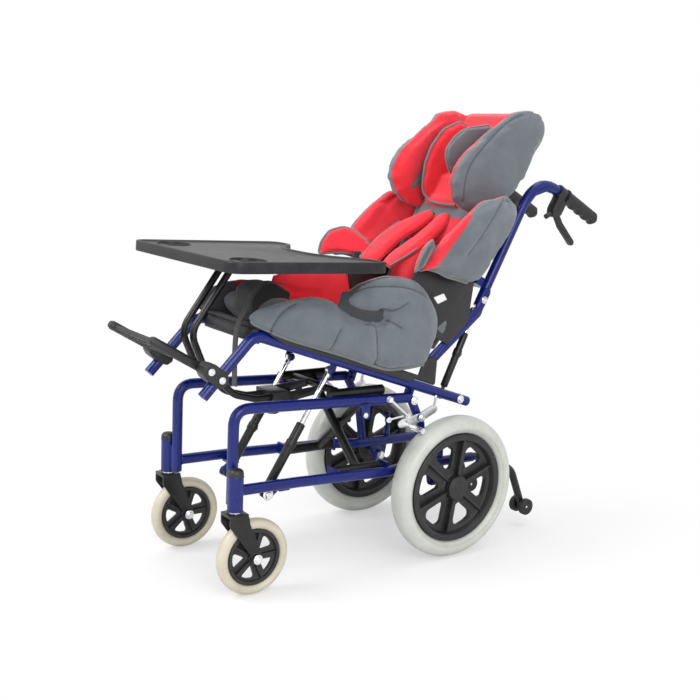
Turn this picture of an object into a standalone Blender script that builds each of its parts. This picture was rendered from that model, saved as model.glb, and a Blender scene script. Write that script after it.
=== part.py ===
"""Pediatric positioning wheelchair with tilt, recline, tray, footplate and attendant brakes.

The chair faces -Y, +X is the occupant's left and +Z is up. All lengths are in metres and all
angles in degrees. Places are first given from a point on the floor between the front casters'
axles, and the finished model is then moved so that its origin is the middle of its footprint.
"""

import math

import bmesh
import bpy
from mathutils import Vector

# General clearances and facet counts
SEAT_GAP = 0.0003
RUN_GAP = 0.0005
PIVOT_PLAY = 0.0014
TUBE_SIDES = 10
ROD_SIDES = 8
BEND_STEPS = 3
REAR_FACETS = 26
CASTER_FACETS = 20

# Wheels
REAR_WHEEL_R = 0.1575
REAR_RIM_R = 0.118
REAR_TYRE_HALF = 0.027
REAR_X = 0.169
REAR_Y = 0.486
REAR_HUB_R = 0.026
REAR_HUB_HALF = 0.0245
REAR_SPOKES = 6
CASTER_R = 0.0775
CASTER_RIM_R = 0.056
CASTER_HALF = 0.014
CASTER_X = 0.148
CASTER_Y = 0.0
CASTER_SPOKES = 5
CASTER_TRAIL = 0.041
AXLE_R = 0.006
ANTI_TIP_R = 0.0195
ANTI_TIP_X = 0.100
ANTI_TIP_AXLE = (0.768, 0.049)

# Base frame
TUBE_R = 0.011
FRAME_X = 0.121
POST_Y = -0.034
POST_FOOT_Z = 0.182
RAIL_FRONT_Z = 0.3703
RAIL_END = (0.394, 0.3534)
HOOP_BEND = 0.035
LOWER_RAIL = ((-0.034, 0.206), (0.117, 0.204), (0.345, 0.1957))
LOWER_TAIL = ((0.415, 0.1935), (0.600, 0.190))
TAIL_X = 0.100
REAR_POST_R = 0.0095
HOUSING_R = 0.0155
HOUSING_FOOT_Z = 0.177
HOUSING_TOP_Z = 0.246
STEM_R = 0.006
AXLE_PLATE = (0.1035, 0.1095)
STOP_SCREW_Y = 0.505
PLUG_R = 0.0088
PLUG_START_Y = 0.565

# Cross brace and tray support
BRACE_X = 0.094
BRACE_Z = 0.203
BRACE_Y = (0.2195, 0.3405)
BRACE_LEG_R = 0.010
BRACE_BOLT_R = 0.0035
BRACE_PIN_R = 0.0045
BRACE_LEG_Y = (0.281, 0.306)
SADDLE_X = 0.0985
SADDLE_Z = 0.372
SADDLE_R = 0.0108
SADDLE_Y = (0.200, 0.345)
SOCKET_T = 0.0055
TRAY_BAR_Y = 0.232
TRAY_BAR_R = 0.008
TRAY_TUBE_R = 0.007
TRAY_TUBE_X = 0.020
TRAY_TUBE_Z = 0.3585
CLAMP_Y = (0.105, 0.145)
CLAMP_HALF_X = 0.036
CLAMP_HALF_Z = 0.013
KNOB_R = 0.015
KNOB_H = 0.026

# Tray
TRAY_FRONT_Y = -0.099
TRAY_REAR_Y = 0.255
TRAY_FRONT_HALF = 0.2185
TRAY_REAR_HALF = 0.200
TRAY_FRONT_Z = 0.666
TRAY_SLOPE = -1.45
TRAY_T = 0.022
TRAY_LIP = 0.004
TRAY_WALL = 0.006
TRAY_FLOOR = 0.005
BELLY_HALF = 0.105
BELLY_DEPTH = 0.150
CUP_X = 0.156
CUP_Y = -0.032
CUP_R = 0.034
CUP_DEPTH = 0.014

# Tilt pivot and seat, in the seat's own line: s runs rearward and t upward from the pivot
PIVOT = (0.397, 0.349)
SEAT_PITCH = 18.5
SEAT_RAIL_X = 0.120
SEAT_RAIL_T = 0.0317
SEAT_RAIL_REAR_S = 0.1565
HANGER_TOP = (-0.002, 0.503)
HANGER_END = (-0.101, 0.400)
HANGER_CORNER = (0.0073, 0.5127)
EAR_X = (0.1040, 0.1095)
PIN_R = 0.004
CROSS_R = 0.008
TILT_X = 0.078
TILT_FOOT = (0.065, 0.176)
TILT_HEAD_S = -0.1967
TILT_HEAD_T = 0.008
PAN_T = (0.0430, 0.0545)
PAN_S = (-0.412, 0.018)
PAN_HALF = 0.1175
CHEEK_X = (0.1108, 0.1158)

# Back, in its own line: u runs up the back and v forward from the recline hinge
HINGE = (0.452, 0.425)
BACK_LEAN = 27.1
BACK_TUBE_X = 0.100
BACK_TUBE_V = -0.069
BACK_TUBE_FOOT_U = 0.163
ARM_X = (0.1055, 0.1105)
HANDLE_CORNER = (0.7395, 0.8333)
HANDLE_END = (0.934, 0.7301)
HANDLE_BEND = 0.080
GRIP_START = (0.840, 0.780)
GRIP_END = (0.938, 0.728)
GRIP_R = 0.0165
GRIP_RIDGES = 4
LEVER_PIVOT = (0.803, 0.750)
LEVER_TIP = (0.863, 0.677)
LEVER_PIN_R = 0.0027
RECLINE_X = 0.0965
RECLINE_FOOT_S = 0.0971
RECLINE_FOOT_T = 0.0283
RECLINE_HEAD = (0.150, -0.068)
CROSSBAR_U = (0.215, 0.385)
SHELL_HALF = 0.1045
SHELL_V = -0.035
SHELL_CORNER = 0.035
SHELL_WALL = 0.005
SHELL_U = (0.035, 0.410)
SHELL_LEVELS = ((0.0, 0.010, 0.82), (0.15, 0.030, 0.95), (0.40, 0.042, 1.0), (0.72, 0.042, 1.0),
                (0.97, 0.030, 0.97), (1.0, 0.012, 0.90))
STEM_HALF = 0.012
STEM_V = (-0.0740, -0.0680)
STEM_U = (0.300, 0.500)
SLEEVE_U = (0.345, 0.405)
FIN = (0.200, 0.330, 0.004, 0.026)
FIN_X = 0.136

# Gas struts
TILT_STRUT_R = 0.0095
RECLINE_STRUT_R = 0.0082
TILT_REACH = 0.160
RECLINE_REACH = 0.148
STRUT_ROD_R = 0.0051
EYE_R = 0.0095
EYE_T = 0.0096

# Footplate
FOOT_HINGE = (-0.092, 0.451)
FOOT_CLAMP_BOLT = (-0.069, 0.433)
FOOT_RISE = 30.0
FOOT_TUBE_R = 0.0095
FOOT_TUBE_L = 0.122
FOOT_PLATE = (0.030, 0.112)

# Attendant brake
BRAKE_PIVOT = (0.415, 0.311)
BRAKE_FRONT = (0.364, 0.302)
BRAKE_REAR = (0.450, 0.326)
BRAKE_ARM_X = (0.1335, 0.1365)
ROLLER_R = 0.0065
ROLLER_GAP = 0.0012
ROLLER_BEARING = 125.5
ROLLER_END_X = 0.178

# Soft parts: each pad is a rim, a hub and rings of (share of the rim, share of the rise)
PAD_RINGS = ((0.93, 0.62), (0.70, 1.0))
PAD_CROWN = 1.04
CUSHION_T = 0.028
CUSHION_RISE = 0.032
CUSHION_HALF = 0.1185
CUSHION_S = (-0.402, -0.034)
CUSHION_CORNER = 0.030
RIM_BOW = 0.004
BACK_PAD_U = (0.050, 0.405)
BACK_PAD_V = 0.012
BACK_PAD_RISE = 0.040
THIGH_RIM = ((-0.030, 0.535), (-0.013, 0.557), (0.054, 0.581), (0.117, 0.592), (0.172, 0.582),
             (0.209, 0.549), (0.250, 0.529), (0.290, 0.520), (0.302, 0.470), (0.300, 0.418),
             (0.214, 0.447), (0.099, 0.483), (0.010, 0.514))
HIP_RIM = ((0.203, 0.574), (0.200, 0.594), (0.231, 0.615), (0.303, 0.629), (0.368, 0.617),
           (0.404, 0.597), (0.435, 0.559), (0.450, 0.521), (0.446, 0.480), (0.429, 0.440),
           (0.412, 0.417), (0.338, 0.412), (0.276, 0.424), (0.268, 0.498), (0.292, 0.528),
           (0.298, 0.543), (0.290, 0.556), (0.245, 0.560))
THIGH_HUB = (0.150, 0.520)
HIP_HUB = (0.355, 0.560)
BOLSTER_X = 0.1385
BOLSTER_HALF = 0.0170
WING_RIM = ((0.150, 0.150, 0.150), (0.176, 0.020, 0.140), (0.215, -0.012, 0.136), (0.290, -0.027, 0.135),
            (0.365, -0.028, 0.138), (0.392, -0.012, 0.142), (0.397, 0.026, 0.155), (0.384, 0.058, 0.168),
            (0.350, 0.086, 0.176), (0.270, 0.108, 0.174), (0.195, 0.135, 0.162))
WING_HUB = (0.275, 0.040, 0.153)
WING_LEAN = (0.93, -0.36)
WING_RISE = 0.017
HEAD_WING_RIM = ((0.316, 0.112), (0.335, 0.138), (0.378, 0.152), (0.430, 0.150), (0.480, 0.138),
                 (0.535, 0.108), (0.572, 0.072), (0.594, 0.045), (0.600, 0.010), (0.580, -0.018),
                 (0.530, -0.030), (0.455, -0.033), (0.432, -0.018), (0.420, 0.020), (0.404, 0.052),
                 (0.352, 0.086))
HEAD_SHELL_BLOCK = ((0.440, 0.500), (-0.068, -0.020))
HEAD_WING_HUB = (0.475, 0.062, 0.111)
HEAD_WING_RISE = 0.016
HEAD_FOOT_X = 0.097
HEAD_FLARE = 0.1056
HEAD_PANEL = ((-0.112, 0.455), (-0.09, 0.432), (0, 0.424), (0.09, 0.432), (0.112, 0.455), (0.122, 0.51),
              (0.124, 0.565), (0.10, 0.588), (0, 0.582), (-0.10, 0.588), (-0.124, 0.565), (-0.122, 0.51))
HEAD_PANEL_HUB = (0.505, -0.006)
HEAD_PANEL_RISE = (0.030, -0.026)
HEAD_BLOCK_HALF = 0.030

# Brake lever and its housing, as seen from the side
RING_BACK = 0.026
RING_HALF = 0.010
RING_WALL = 0.0045
HOUSING_HALF = 0.0105
SLOT_HALF = 0.0055
BARREL_LEAN = (-0.90, -0.43)
BARREL_L = 0.030
BARREL_R = 0.006
LEVER_ROOM = ((-0.012, -0.012), (0.040, -0.060), (0.060, 0.010), (-0.005, 0.012))
LEVER_BEND_AT = 0.40
LEVER_HALF_W = 0.0065

# Brake arm's straps, holes and pull rod
BRAKE_ARM_HALF_W = 0.0095
BRAKE_HOLES_AT = (0.25, 0.6)
BRAKE_HOLE_R = 0.0025
PULL_ROD_R = 0.0026
PULL_ROD_TOP = (0.454, 0.356)

# Footplate's board, ribs and clamps
FOOT_CLAMP_R = 0.0165
FOOT_PLATE_HALF_T = 0.004
FOOT_RIBS = 3
FOOT_RIB_HALF = 0.003

# Tray's carrying plate and the line of its tubes below it
TRAY_PLATE_HALF = 0.045
TRAY_PLATE_Y = (-0.035, 0.060)
TRAY_PLATE_T = 0.004
TRAY_TUBE_DROP = 0.0048
TRAY_BEND_R = 0.045
TRAY_TUBE_LINE = ((-0.078, 0.505), (-0.050, 0.440), (0.022, 0.372), (0.072, TRAY_TUBE_Z),
                  (0.176, TRAY_TUBE_Z))

# Fixings: radii of bolt heads and bosses, and the thickness of a head
BOSS_R = 0.0065
PIN_HEAD_R = 0.0075
NUT_R = 0.0070
PIN_HEAD_T = 0.0035
BOLT_SIDES = 6

SIDES = ((1, "left"), (-1, "right"))
BODIES = {}


def clear_scene():
    for obj in list(bpy.data.objects):
        bpy.data.objects.remove(obj, do_unlink=True)


def material(name, colour, roughness, metallic=0.0):
    made = bpy.data.materials.new(name)
    made.use_nodes = True
    shader = made.node_tree.nodes["Principled BSDF"]
    shader.inputs["Base Color"].default_value = (*colour, 1.0)
    shader.inputs["Roughness"].default_value = roughness
    shader.inputs["Metallic"].default_value = metallic
    return made


def seat(s, t):
    """World (y, z) of a point given along and above the seat's pivot line."""
    a = math.radians(SEAT_PITCH)
    return (PIVOT[0] + s * math.cos(a) + t * math.sin(a),
            PIVOT[1] - s * math.sin(a) + t * math.cos(a))


def back(u, v):
    """World (y, z) of a point given up and forward of the recline hinge."""
    a = math.radians(BACK_LEAN)
    return (HINGE[0] + u * math.sin(a) - v * math.cos(a),
            HINGE[1] + u * math.cos(a) + v * math.sin(a))


def at(x, yz):
    return Vector((x, yz[0], yz[1]))


def clear(r, sides=ROD_SIDES):
    """Radius of a faceted bore that leaves the seat gap all round a pin of radius r."""
    return (r + SEAT_GAP) / math.cos(math.pi / sides)


def solid(verts, faces):
    """A closed mesh object with its faces turned outward."""
    mesh = bpy.data.meshes.new("piece")
    mesh.from_pydata([tuple(v) for v in verts], [], faces)
    bm = bmesh.new()
    bm.from_mesh(mesh)
    bmesh.ops.recalc_face_normals(bm, faces=bm.faces[:])
    bm.to_mesh(mesh)
    bm.free()
    obj = bpy.data.objects.new("piece", mesh)
    bpy.context.scene.collection.objects.link(obj)
    return obj


def round_corners(points, radius, steps=BEND_STEPS, closed=False):
    """A path or an outline whose corners are replaced by arcs."""
    count = len(points)
    path = []
    for i, p in enumerate(points):
        if not closed and i in (0, count - 1):
            path.append(p.copy())
            continue
        before = points[i - 1] - p
        after = points[(i + 1) % count] - p
        half = before.angle(after) / 2
        if math.pi / 2 - half < 0.02:
            path.append(p.copy())
            continue
        room = min(before.length, after.length) * 0.49
        reach = min(radius / math.tan(half), room)
        arc_r = reach * math.tan(half)
        bisector = (before.normalized() + after.normalized()).normalized()
        centre = p + bisector * (arc_r / math.sin(half))
        turns = max(1, round(steps * (math.pi - 2 * half) / (math.pi / 2)))
        start = (p + before.normalized() * reach - centre).normalized()
        end = (p + after.normalized() * reach - centre).normalized()
        for k in range(turns + 1):
            path.append(centre + start.slerp(end, k / turns) * arc_r)
    return path


def sweep(path, radii, sides=TUBE_SIDES):
    """A capped round bar along a path, with one radius or one for each point."""
    count = len(path)
    radii = [radii] * count if isinstance(radii, float) else radii
    tangents = []
    for i in range(count):
        ahead = path[min(i + 1, count - 1)]
        behind = path[max(i - 1, 0)]
        tangents.append((ahead - behind).normalized())
    across = tangents[0].orthogonal().normalized()
    verts = []
    for p, t, r in zip(path, tangents, radii):
        across = (across - t * across.dot(t)).normalized()
        other = t.cross(across)
        for k in range(sides):
            a = 2 * math.pi * (k + 0.5) / sides
            verts.append(p + across * (r * math.cos(a)) + other * (r * math.sin(a)))
    faces = [list(range(sides)), [(count - 1) * sides + k for k in range(sides)]]
    for i in range(count - 1):
        for k in range(sides):
            n = (k + 1) % sides
            faces.append([i * sides + k, i * sides + n, (i + 1) * sides + n, (i + 1) * sides + k])
    return solid(verts, faces)


def tube(points, radius, bend=0.0, sides=TUBE_SIDES):
    path = round_corners(points, bend) if bend else points
    return sweep(path, radius, sides)


def turned(centre, axis, profile, sides=24, ring=False):
    """A turned piece: the profile lists (radius, distance along the axis)."""
    axis = axis.normalized()
    if abs(axis.z) < 0.5:
        down = Vector((0, 0, -1))
        across = (down - axis * down.dot(axis)).normalized()
    else:
        across = Vector((1, 0, 0))
    other = axis.cross(across)
    verts = []
    rows = []
    for r, h in profile:
        if r == 0:
            rows.append([len(verts)] * sides)
            verts.append(centre + axis * h)
            continue
        rows.append([len(verts) + k for k in range(sides)])
        for k in range(sides):
            a = 2 * math.pi * k / sides
            verts.append(centre + axis * h + across * (r * math.cos(a)) + other * (r * math.sin(a)))
    faces = []
    pairs = list(zip(rows, rows[1:]))
    if ring:
        pairs.append((rows[-1], rows[0]))
    for low, high in pairs:
        for k in range(sides):
            n = (k + 1) % sides
            face = []
            for v in (low[k], low[n], high[n], high[k]):
                if v not in face:
                    face.append(v)
            faces.append(face)
    return solid(verts, faces)


def prism(outline, depth):
    """An outline of points pushed along a vector."""
    count = len(outline)
    verts = list(outline) + [p + depth for p in outline]
    faces = [list(range(count)), list(range(count, 2 * count))]
    for i in range(count):
        n = (i + 1) % count
        faces.append([i, n, count + n, count + i])
    return solid(verts, faces)


def cheek(points, x0, x1, corner=0.0, steps=2):
    """A plate square to X, from its side outline of (y, z) points."""
    outline = [at(x0, p) for p in points]
    if corner:
        outline = round_corners(outline, corner, steps, closed=True)
    return prism(outline, Vector((x1 - x0, 0, 0)))


def strap(a, b, r, x0, x1, steps=4):
    """A flat link between two eyes of one radius."""
    along = math.atan2(b[1] - a[1], b[0] - a[0])
    outline = []
    for centre, turn in ((b, along - math.pi / 2), (a, along + math.pi / 2)):
        for k in range(steps + 1):
            angle = turn + math.pi * k / steps
            outline.append((centre[0] + r * math.cos(angle), centre[1] + r * math.sin(angle)))
    return cheek(outline, x0, x1)


def box(low, high):
    x0, y0, z0 = low
    x1, y1, z1 = high
    outline = [Vector((x0, y0, z0)), Vector((x1, y0, z0)), Vector((x1, y1, z0)), Vector((x0, y1, z0))]
    return prism(outline, Vector((0, 0, z1 - z0)))


def pin(yz, x0, x1, r, sides=ROD_SIDES):
    return sweep([at(x0, yz), at(x1, yz)], r, sides)


def smooth_loop(points, steps=2):
    """A closed smooth curve through the points."""
    count = len(points)
    loop = []
    for i in range(count):
        p0, p1, p2, p3 = (points[(i + k) % count] for k in (-1, 0, 1, 2))
        for k in range(steps):
            f = k / steps
            loop.append(0.5 * (2 * p1 + (p2 - p0) * f + (2 * p0 - 5 * p1 + 4 * p2 - p3) * f * f
                               + (3 * p1 - p0 - 3 * p2 + p3) * f ** 3))
    return loop


def pad(rim, hub, rise, sink, rings=PAD_RINGS):
    """A crowned cushion: rings drawn in from the rim towards the hub on both faces."""
    count = len(rim)
    verts = list(rim)
    faces = []
    for lift in (rise, sink):
        last = list(range(count))
        for share, height in rings:
            first = len(verts)
            verts.extend(hub + (p - hub) * share + lift * height for p in rim)
            row = list(range(first, first + count))
            faces.extend([last[k], last[(k + 1) % count], row[(k + 1) % count], row[k]]
                         for k in range(count))
            last = row
        verts.append(hub + lift * PAD_CROWN)
        faces.extend([last[k], last[(k + 1) % count], len(verts) - 1] for k in range(count))
    return solid(verts, faces)


def fused(pieces, cuts=()):
    """The first piece joined with the others, less the cutters."""
    base = pieces[0]
    for kind, tools in (("UNION", pieces[1:]), ("DIFFERENCE", cuts)):
        for tool in tools:
            step = base.modifiers.new(kind.lower(), "BOOLEAN")
            step.operation = kind
            step.solver = "EXACT"
            step.object = tool
    graph = bpy.context.evaluated_depsgraph_get()
    mesh = bpy.data.meshes.new_from_object(base.evaluated_get(graph))
    for obj in [*pieces, *cuts]:
        bpy.data.objects.remove(obj, do_unlink=True)
    bm = bmesh.new()
    bm.from_mesh(mesh)
    bmesh.ops.remove_doubles(bm, verts=bm.verts[:], dist=0.000002)
    bmesh.ops.dissolve_degenerate(bm, edges=bm.edges[:], dist=0.000002)
    bm.to_mesh(mesh)
    bm.free()
    obj = bpy.data.objects.new("piece", mesh)
    bpy.context.scene.collection.objects.link(obj)
    return obj


def body(name, pivot, parent=None):
    """An empty on the joint's axis, carried by its parent's empty."""
    empty = bpy.data.objects.new(name + "_axis", None)
    empty.empty_display_size = 0.03
    bpy.context.scene.collection.objects.link(empty)
    if parent:
        empty.parent = BODIES[parent][0]
        empty.location = pivot - BODIES[parent][1]
    else:
        empty.location = pivot
    BODIES[name] = (empty, pivot)


def node(name, carrier, finish, pieces, cuts=()):
    """Names one finished solid, gives it its material and hangs it on its body."""
    obj = fused(pieces, cuts) if len(pieces) + len(cuts) > 1 else pieces[0]
    empty, pivot = BODIES[carrier]
    for vert in obj.data.vertices:
        vert.co -= pivot
    obj.name = name
    obj.data.name = name
    obj.data.materials.clear()
    obj.data.materials.append(finish)
    obj.data.shade_smooth()
    obj.data.set_sharp_from_angle(angle=math.radians(35))
    obj.parent = empty
    return obj


def lerp(a, b, f):
    return a + (b - a) * f


def roller_centre():
    """World (y, z) of the brake roller, just clear of the rear tyre's tread."""
    bearing = math.radians(ROLLER_BEARING)
    reach = REAR_WHEEL_R + ROLLER_GAP + ROLLER_R
    return REAR_Y + reach * math.cos(bearing), REAR_WHEEL_R + reach * math.sin(bearing)


def x_wheel(x, yz, profile, sides, ring=False):
    return turned(at(x, yz), Vector((1, 0, 0)), profile, sides, ring)


def spokes(x, yz, hub_r, rim_r, half, count, width):
    """Spokes that widen into the hub and into the rim, as moulded ones do."""
    span = rim_r - hub_r
    flare = ((hub_r - 0.004, 1.5), (hub_r + 0.22 * span, 1.0), (hub_r + 0.72 * span, 1.0),
             (rim_r + 0.004, 2.3))
    pieces = []
    for k in range(count):
        a = 2 * math.pi * k / count + math.pi / 2
        out = Vector((math.cos(a), math.sin(a)))
        across = Vector((-out.y, out.x))
        edge = [Vector(yz) + out * r + across * (width / 2 * w) for r, w in flare]
        edge += [Vector(yz) + out * r - across * (width / 2 * w) for r, w in reversed(flare)]
        pieces.append(cheek([(p.x, p.y) for p in edge], x - half, x + half))
    return pieces


def rear_wheel(side, tag, rim_finish, tyre_finish):
    name = f"rear_wheel_{tag}"
    hub = (REAR_Y, REAR_WHEEL_R)
    x = side * REAR_X
    body(name, at(x, hub), "base")
    web = spokes(x + side * 0.006, hub, REAR_HUB_R, REAR_RIM_R - 0.0125, 0.005, REAR_SPOKES, 0.020)
    lip, step, well = REAR_RIM_R - 0.012, REAR_RIM_R - 0.015, REAR_RIM_R - 0.009
    profile = [(REAR_RIM_R, -0.019), (REAR_RIM_R, 0.019), (lip, 0.021), (step, 0.014), (well, 0.0),
               (step, -0.014), (lip, -0.021)]
    rim = x_wheel(x, hub, profile, REAR_FACETS, ring=True)
    outer = side * (REAR_HUB_HALF + 0.002)
    core = x_wheel(x, hub, [(0, -side * REAR_HUB_HALF), (REAR_HUB_R, -side * REAR_HUB_HALF),
                            (REAR_HUB_R, outer * 0.75), (REAR_HUB_R - 0.006, outer),
                            (0, outer)], 12)
    bore = pin(hub, x - side * (REAR_HUB_HALF + 0.01), x + side * (REAR_HUB_HALF - 0.005),
               clear(AXLE_R))
    node(f"rear_rim_{tag}", name, rim_finish, [rim, core, *web], [bore])
    seat_r = REAR_RIM_R + SEAT_GAP
    depth = REAR_WHEEL_R - seat_r
    half = REAR_TYRE_HALF
    profile = [(seat_r, -0.7 * half), (seat_r + 0.28 * depth, -0.93 * half),
               (seat_r + 0.60 * depth, -half), (seat_r + 0.86 * depth, -0.80 * half),
               (REAR_WHEEL_R, -0.30 * half), (REAR_WHEEL_R, 0.30 * half),
               (seat_r + 0.86 * depth, 0.80 * half),
               (seat_r + 0.60 * depth, half), (seat_r + 0.28 * depth, 0.93 * half),
               (seat_r, 0.7 * half)]
    node(f"rear_tyre_{tag}", name, tyre_finish, [x_wheel(x, hub, profile, REAR_FACETS, ring=True)])


def rear_axle(side, tag, finish):
    hub = (REAR_Y, REAR_WHEEL_R)
    plate_in, plate_out = AXLE_PLATE
    hub_in = REAR_X - REAR_HUB_HALF
    end = REAR_X + REAR_HUB_HALF - 0.0055
    profile = [(0, plate_in - 0.012), (0.010, plate_in - 0.012), (0.010, plate_in - SEAT_GAP),
               (AXLE_R, plate_in - SEAT_GAP), (AXLE_R, plate_out + SEAT_GAP),
               (0.009, plate_out + SEAT_GAP), (0.009, hub_in - SEAT_GAP), (AXLE_R, hub_in - SEAT_GAP),
               (AXLE_R, end), (0, end)]
    profile = [(r, side * h) for r, h in profile]
    node(f"rear_axle_{tag}", "base", finish, [x_wheel(0, hub, profile, 12)])


def caster(side, tag, finishes):
    black, rim_finish, tyre_finish = finishes
    x = side * CASTER_X
    stem_y = CASTER_Y - CASTER_TRAIL
    hub = (CASTER_Y, CASTER_R)
    swivel = f"caster_fork_{tag}"
    body(swivel, Vector((x, stem_y, HOUSING_FOOT_Z)), "base")
    crown_z = HOUSING_FOOT_Z - SEAT_GAP - 0.004
    inner = CASTER_HALF + 0.0025
    blade_t = 0.0035
    crown = box((x - inner - blade_t, stem_y - 0.020, crown_z - 0.006),
                (x + inner + blade_t, stem_y + 0.020, crown_z))
    boss = turned(Vector((x, stem_y, 0)), Vector((0, 0, 1)),
                  [(0, crown_z - 0.003), (0.011, crown_z - 0.003), (0.011, HOUSING_FOOT_Z - SEAT_GAP),
                   (STEM_R, HOUSING_FOOT_Z - SEAT_GAP), (STEM_R, HOUSING_TOP_Z - 0.001),
                   (0, HOUSING_TOP_Z - 0.001)], 12)
    pieces = [crown, boss]
    outline = [(stem_y - 0.020, crown_z), (stem_y + 0.020, crown_z), (stem_y + 0.024, crown_z - 0.022),
               (CASTER_Y + 0.011, CASTER_R + 0.010), (CASTER_Y + 0.011, CASTER_R - 0.010),
               (CASTER_Y - 0.011, CASTER_R - 0.010), (CASTER_Y - 0.013, CASTER_R + 0.008),
               (stem_y - 0.020, crown_z - 0.022)]
    for flank in (-1, 1):
        x0 = x + flank * inner
        pieces.append(cheek(outline, x0, x0 + flank * blade_t, corner=0.007, steps=1))
    axle = pin(hub, x - inner - blade_t - 0.004, x + inner + blade_t + 0.004, PIN_R)
    pieces.append(axle)
    for flank in (-1, 1):
        x0 = x + flank * (inner + blade_t - 0.001)
        pieces.append(pin(hub, x0, x0 + flank * 0.005, PIN_HEAD_R, BOLT_SIDES))
    node(f"caster_fork_{tag}_plate", swivel, black, pieces)
    wheel = f"caster_wheel_{tag}"
    body(wheel, at(x, hub), swivel)
    web = spokes(x, hub, 0.014, CASTER_RIM_R - 0.006, 0.004, CASTER_SPOKES, 0.010)
    rim = x_wheel(x, hub, [(CASTER_RIM_R, -0.011), (CASTER_RIM_R, 0.011), (CASTER_RIM_R - 0.006, 0.012),
                           (CASTER_RIM_R - 0.006, -0.012)], CASTER_FACETS, ring=True)
    core = x_wheel(x, hub, [(0, -inner + RUN_GAP), (0.013, -inner + RUN_GAP), (0.013, inner - RUN_GAP),
                            (0, inner - RUN_GAP)], 10)
    bore = pin(hub, x - 0.03, x + 0.03, clear(PIN_R))
    node(f"caster_rim_{tag}", wheel, rim_finish, [rim, core, *web], [bore])
    seat_r = CASTER_RIM_R + SEAT_GAP
    depth = CASTER_R - seat_r
    half = CASTER_HALF
    profile = [(seat_r, -0.75 * half), (seat_r + 0.45 * depth, -half), (CASTER_R - 0.0045, -0.80 * half),
               (CASTER_R, -0.25 * half), (CASTER_R, 0.25 * half), (CASTER_R - 0.0045, 0.80 * half),
               (seat_r + 0.45 * depth, half), (seat_r, 0.75 * half)]
    node(f"caster_tyre_{tag}", wheel, tyre_finish, [x_wheel(x, hub, profile, CASTER_FACETS, ring=True)])


def caster_cap(side, tag, finish):
    centre = Vector((side * CASTER_X, CASTER_Y - CASTER_TRAIL, HOUSING_TOP_Z + SEAT_GAP))
    profile = [(0, 0), (HOUSING_R, 0), (HOUSING_R, 0.005), (0.012, 0.011), (0.006, 0.0145), (0, 0.0155)]
    node(f"caster_cap_{tag}", "base", finish, [turned(centre, Vector((0, 0, 1)), profile, 12)])


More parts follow.
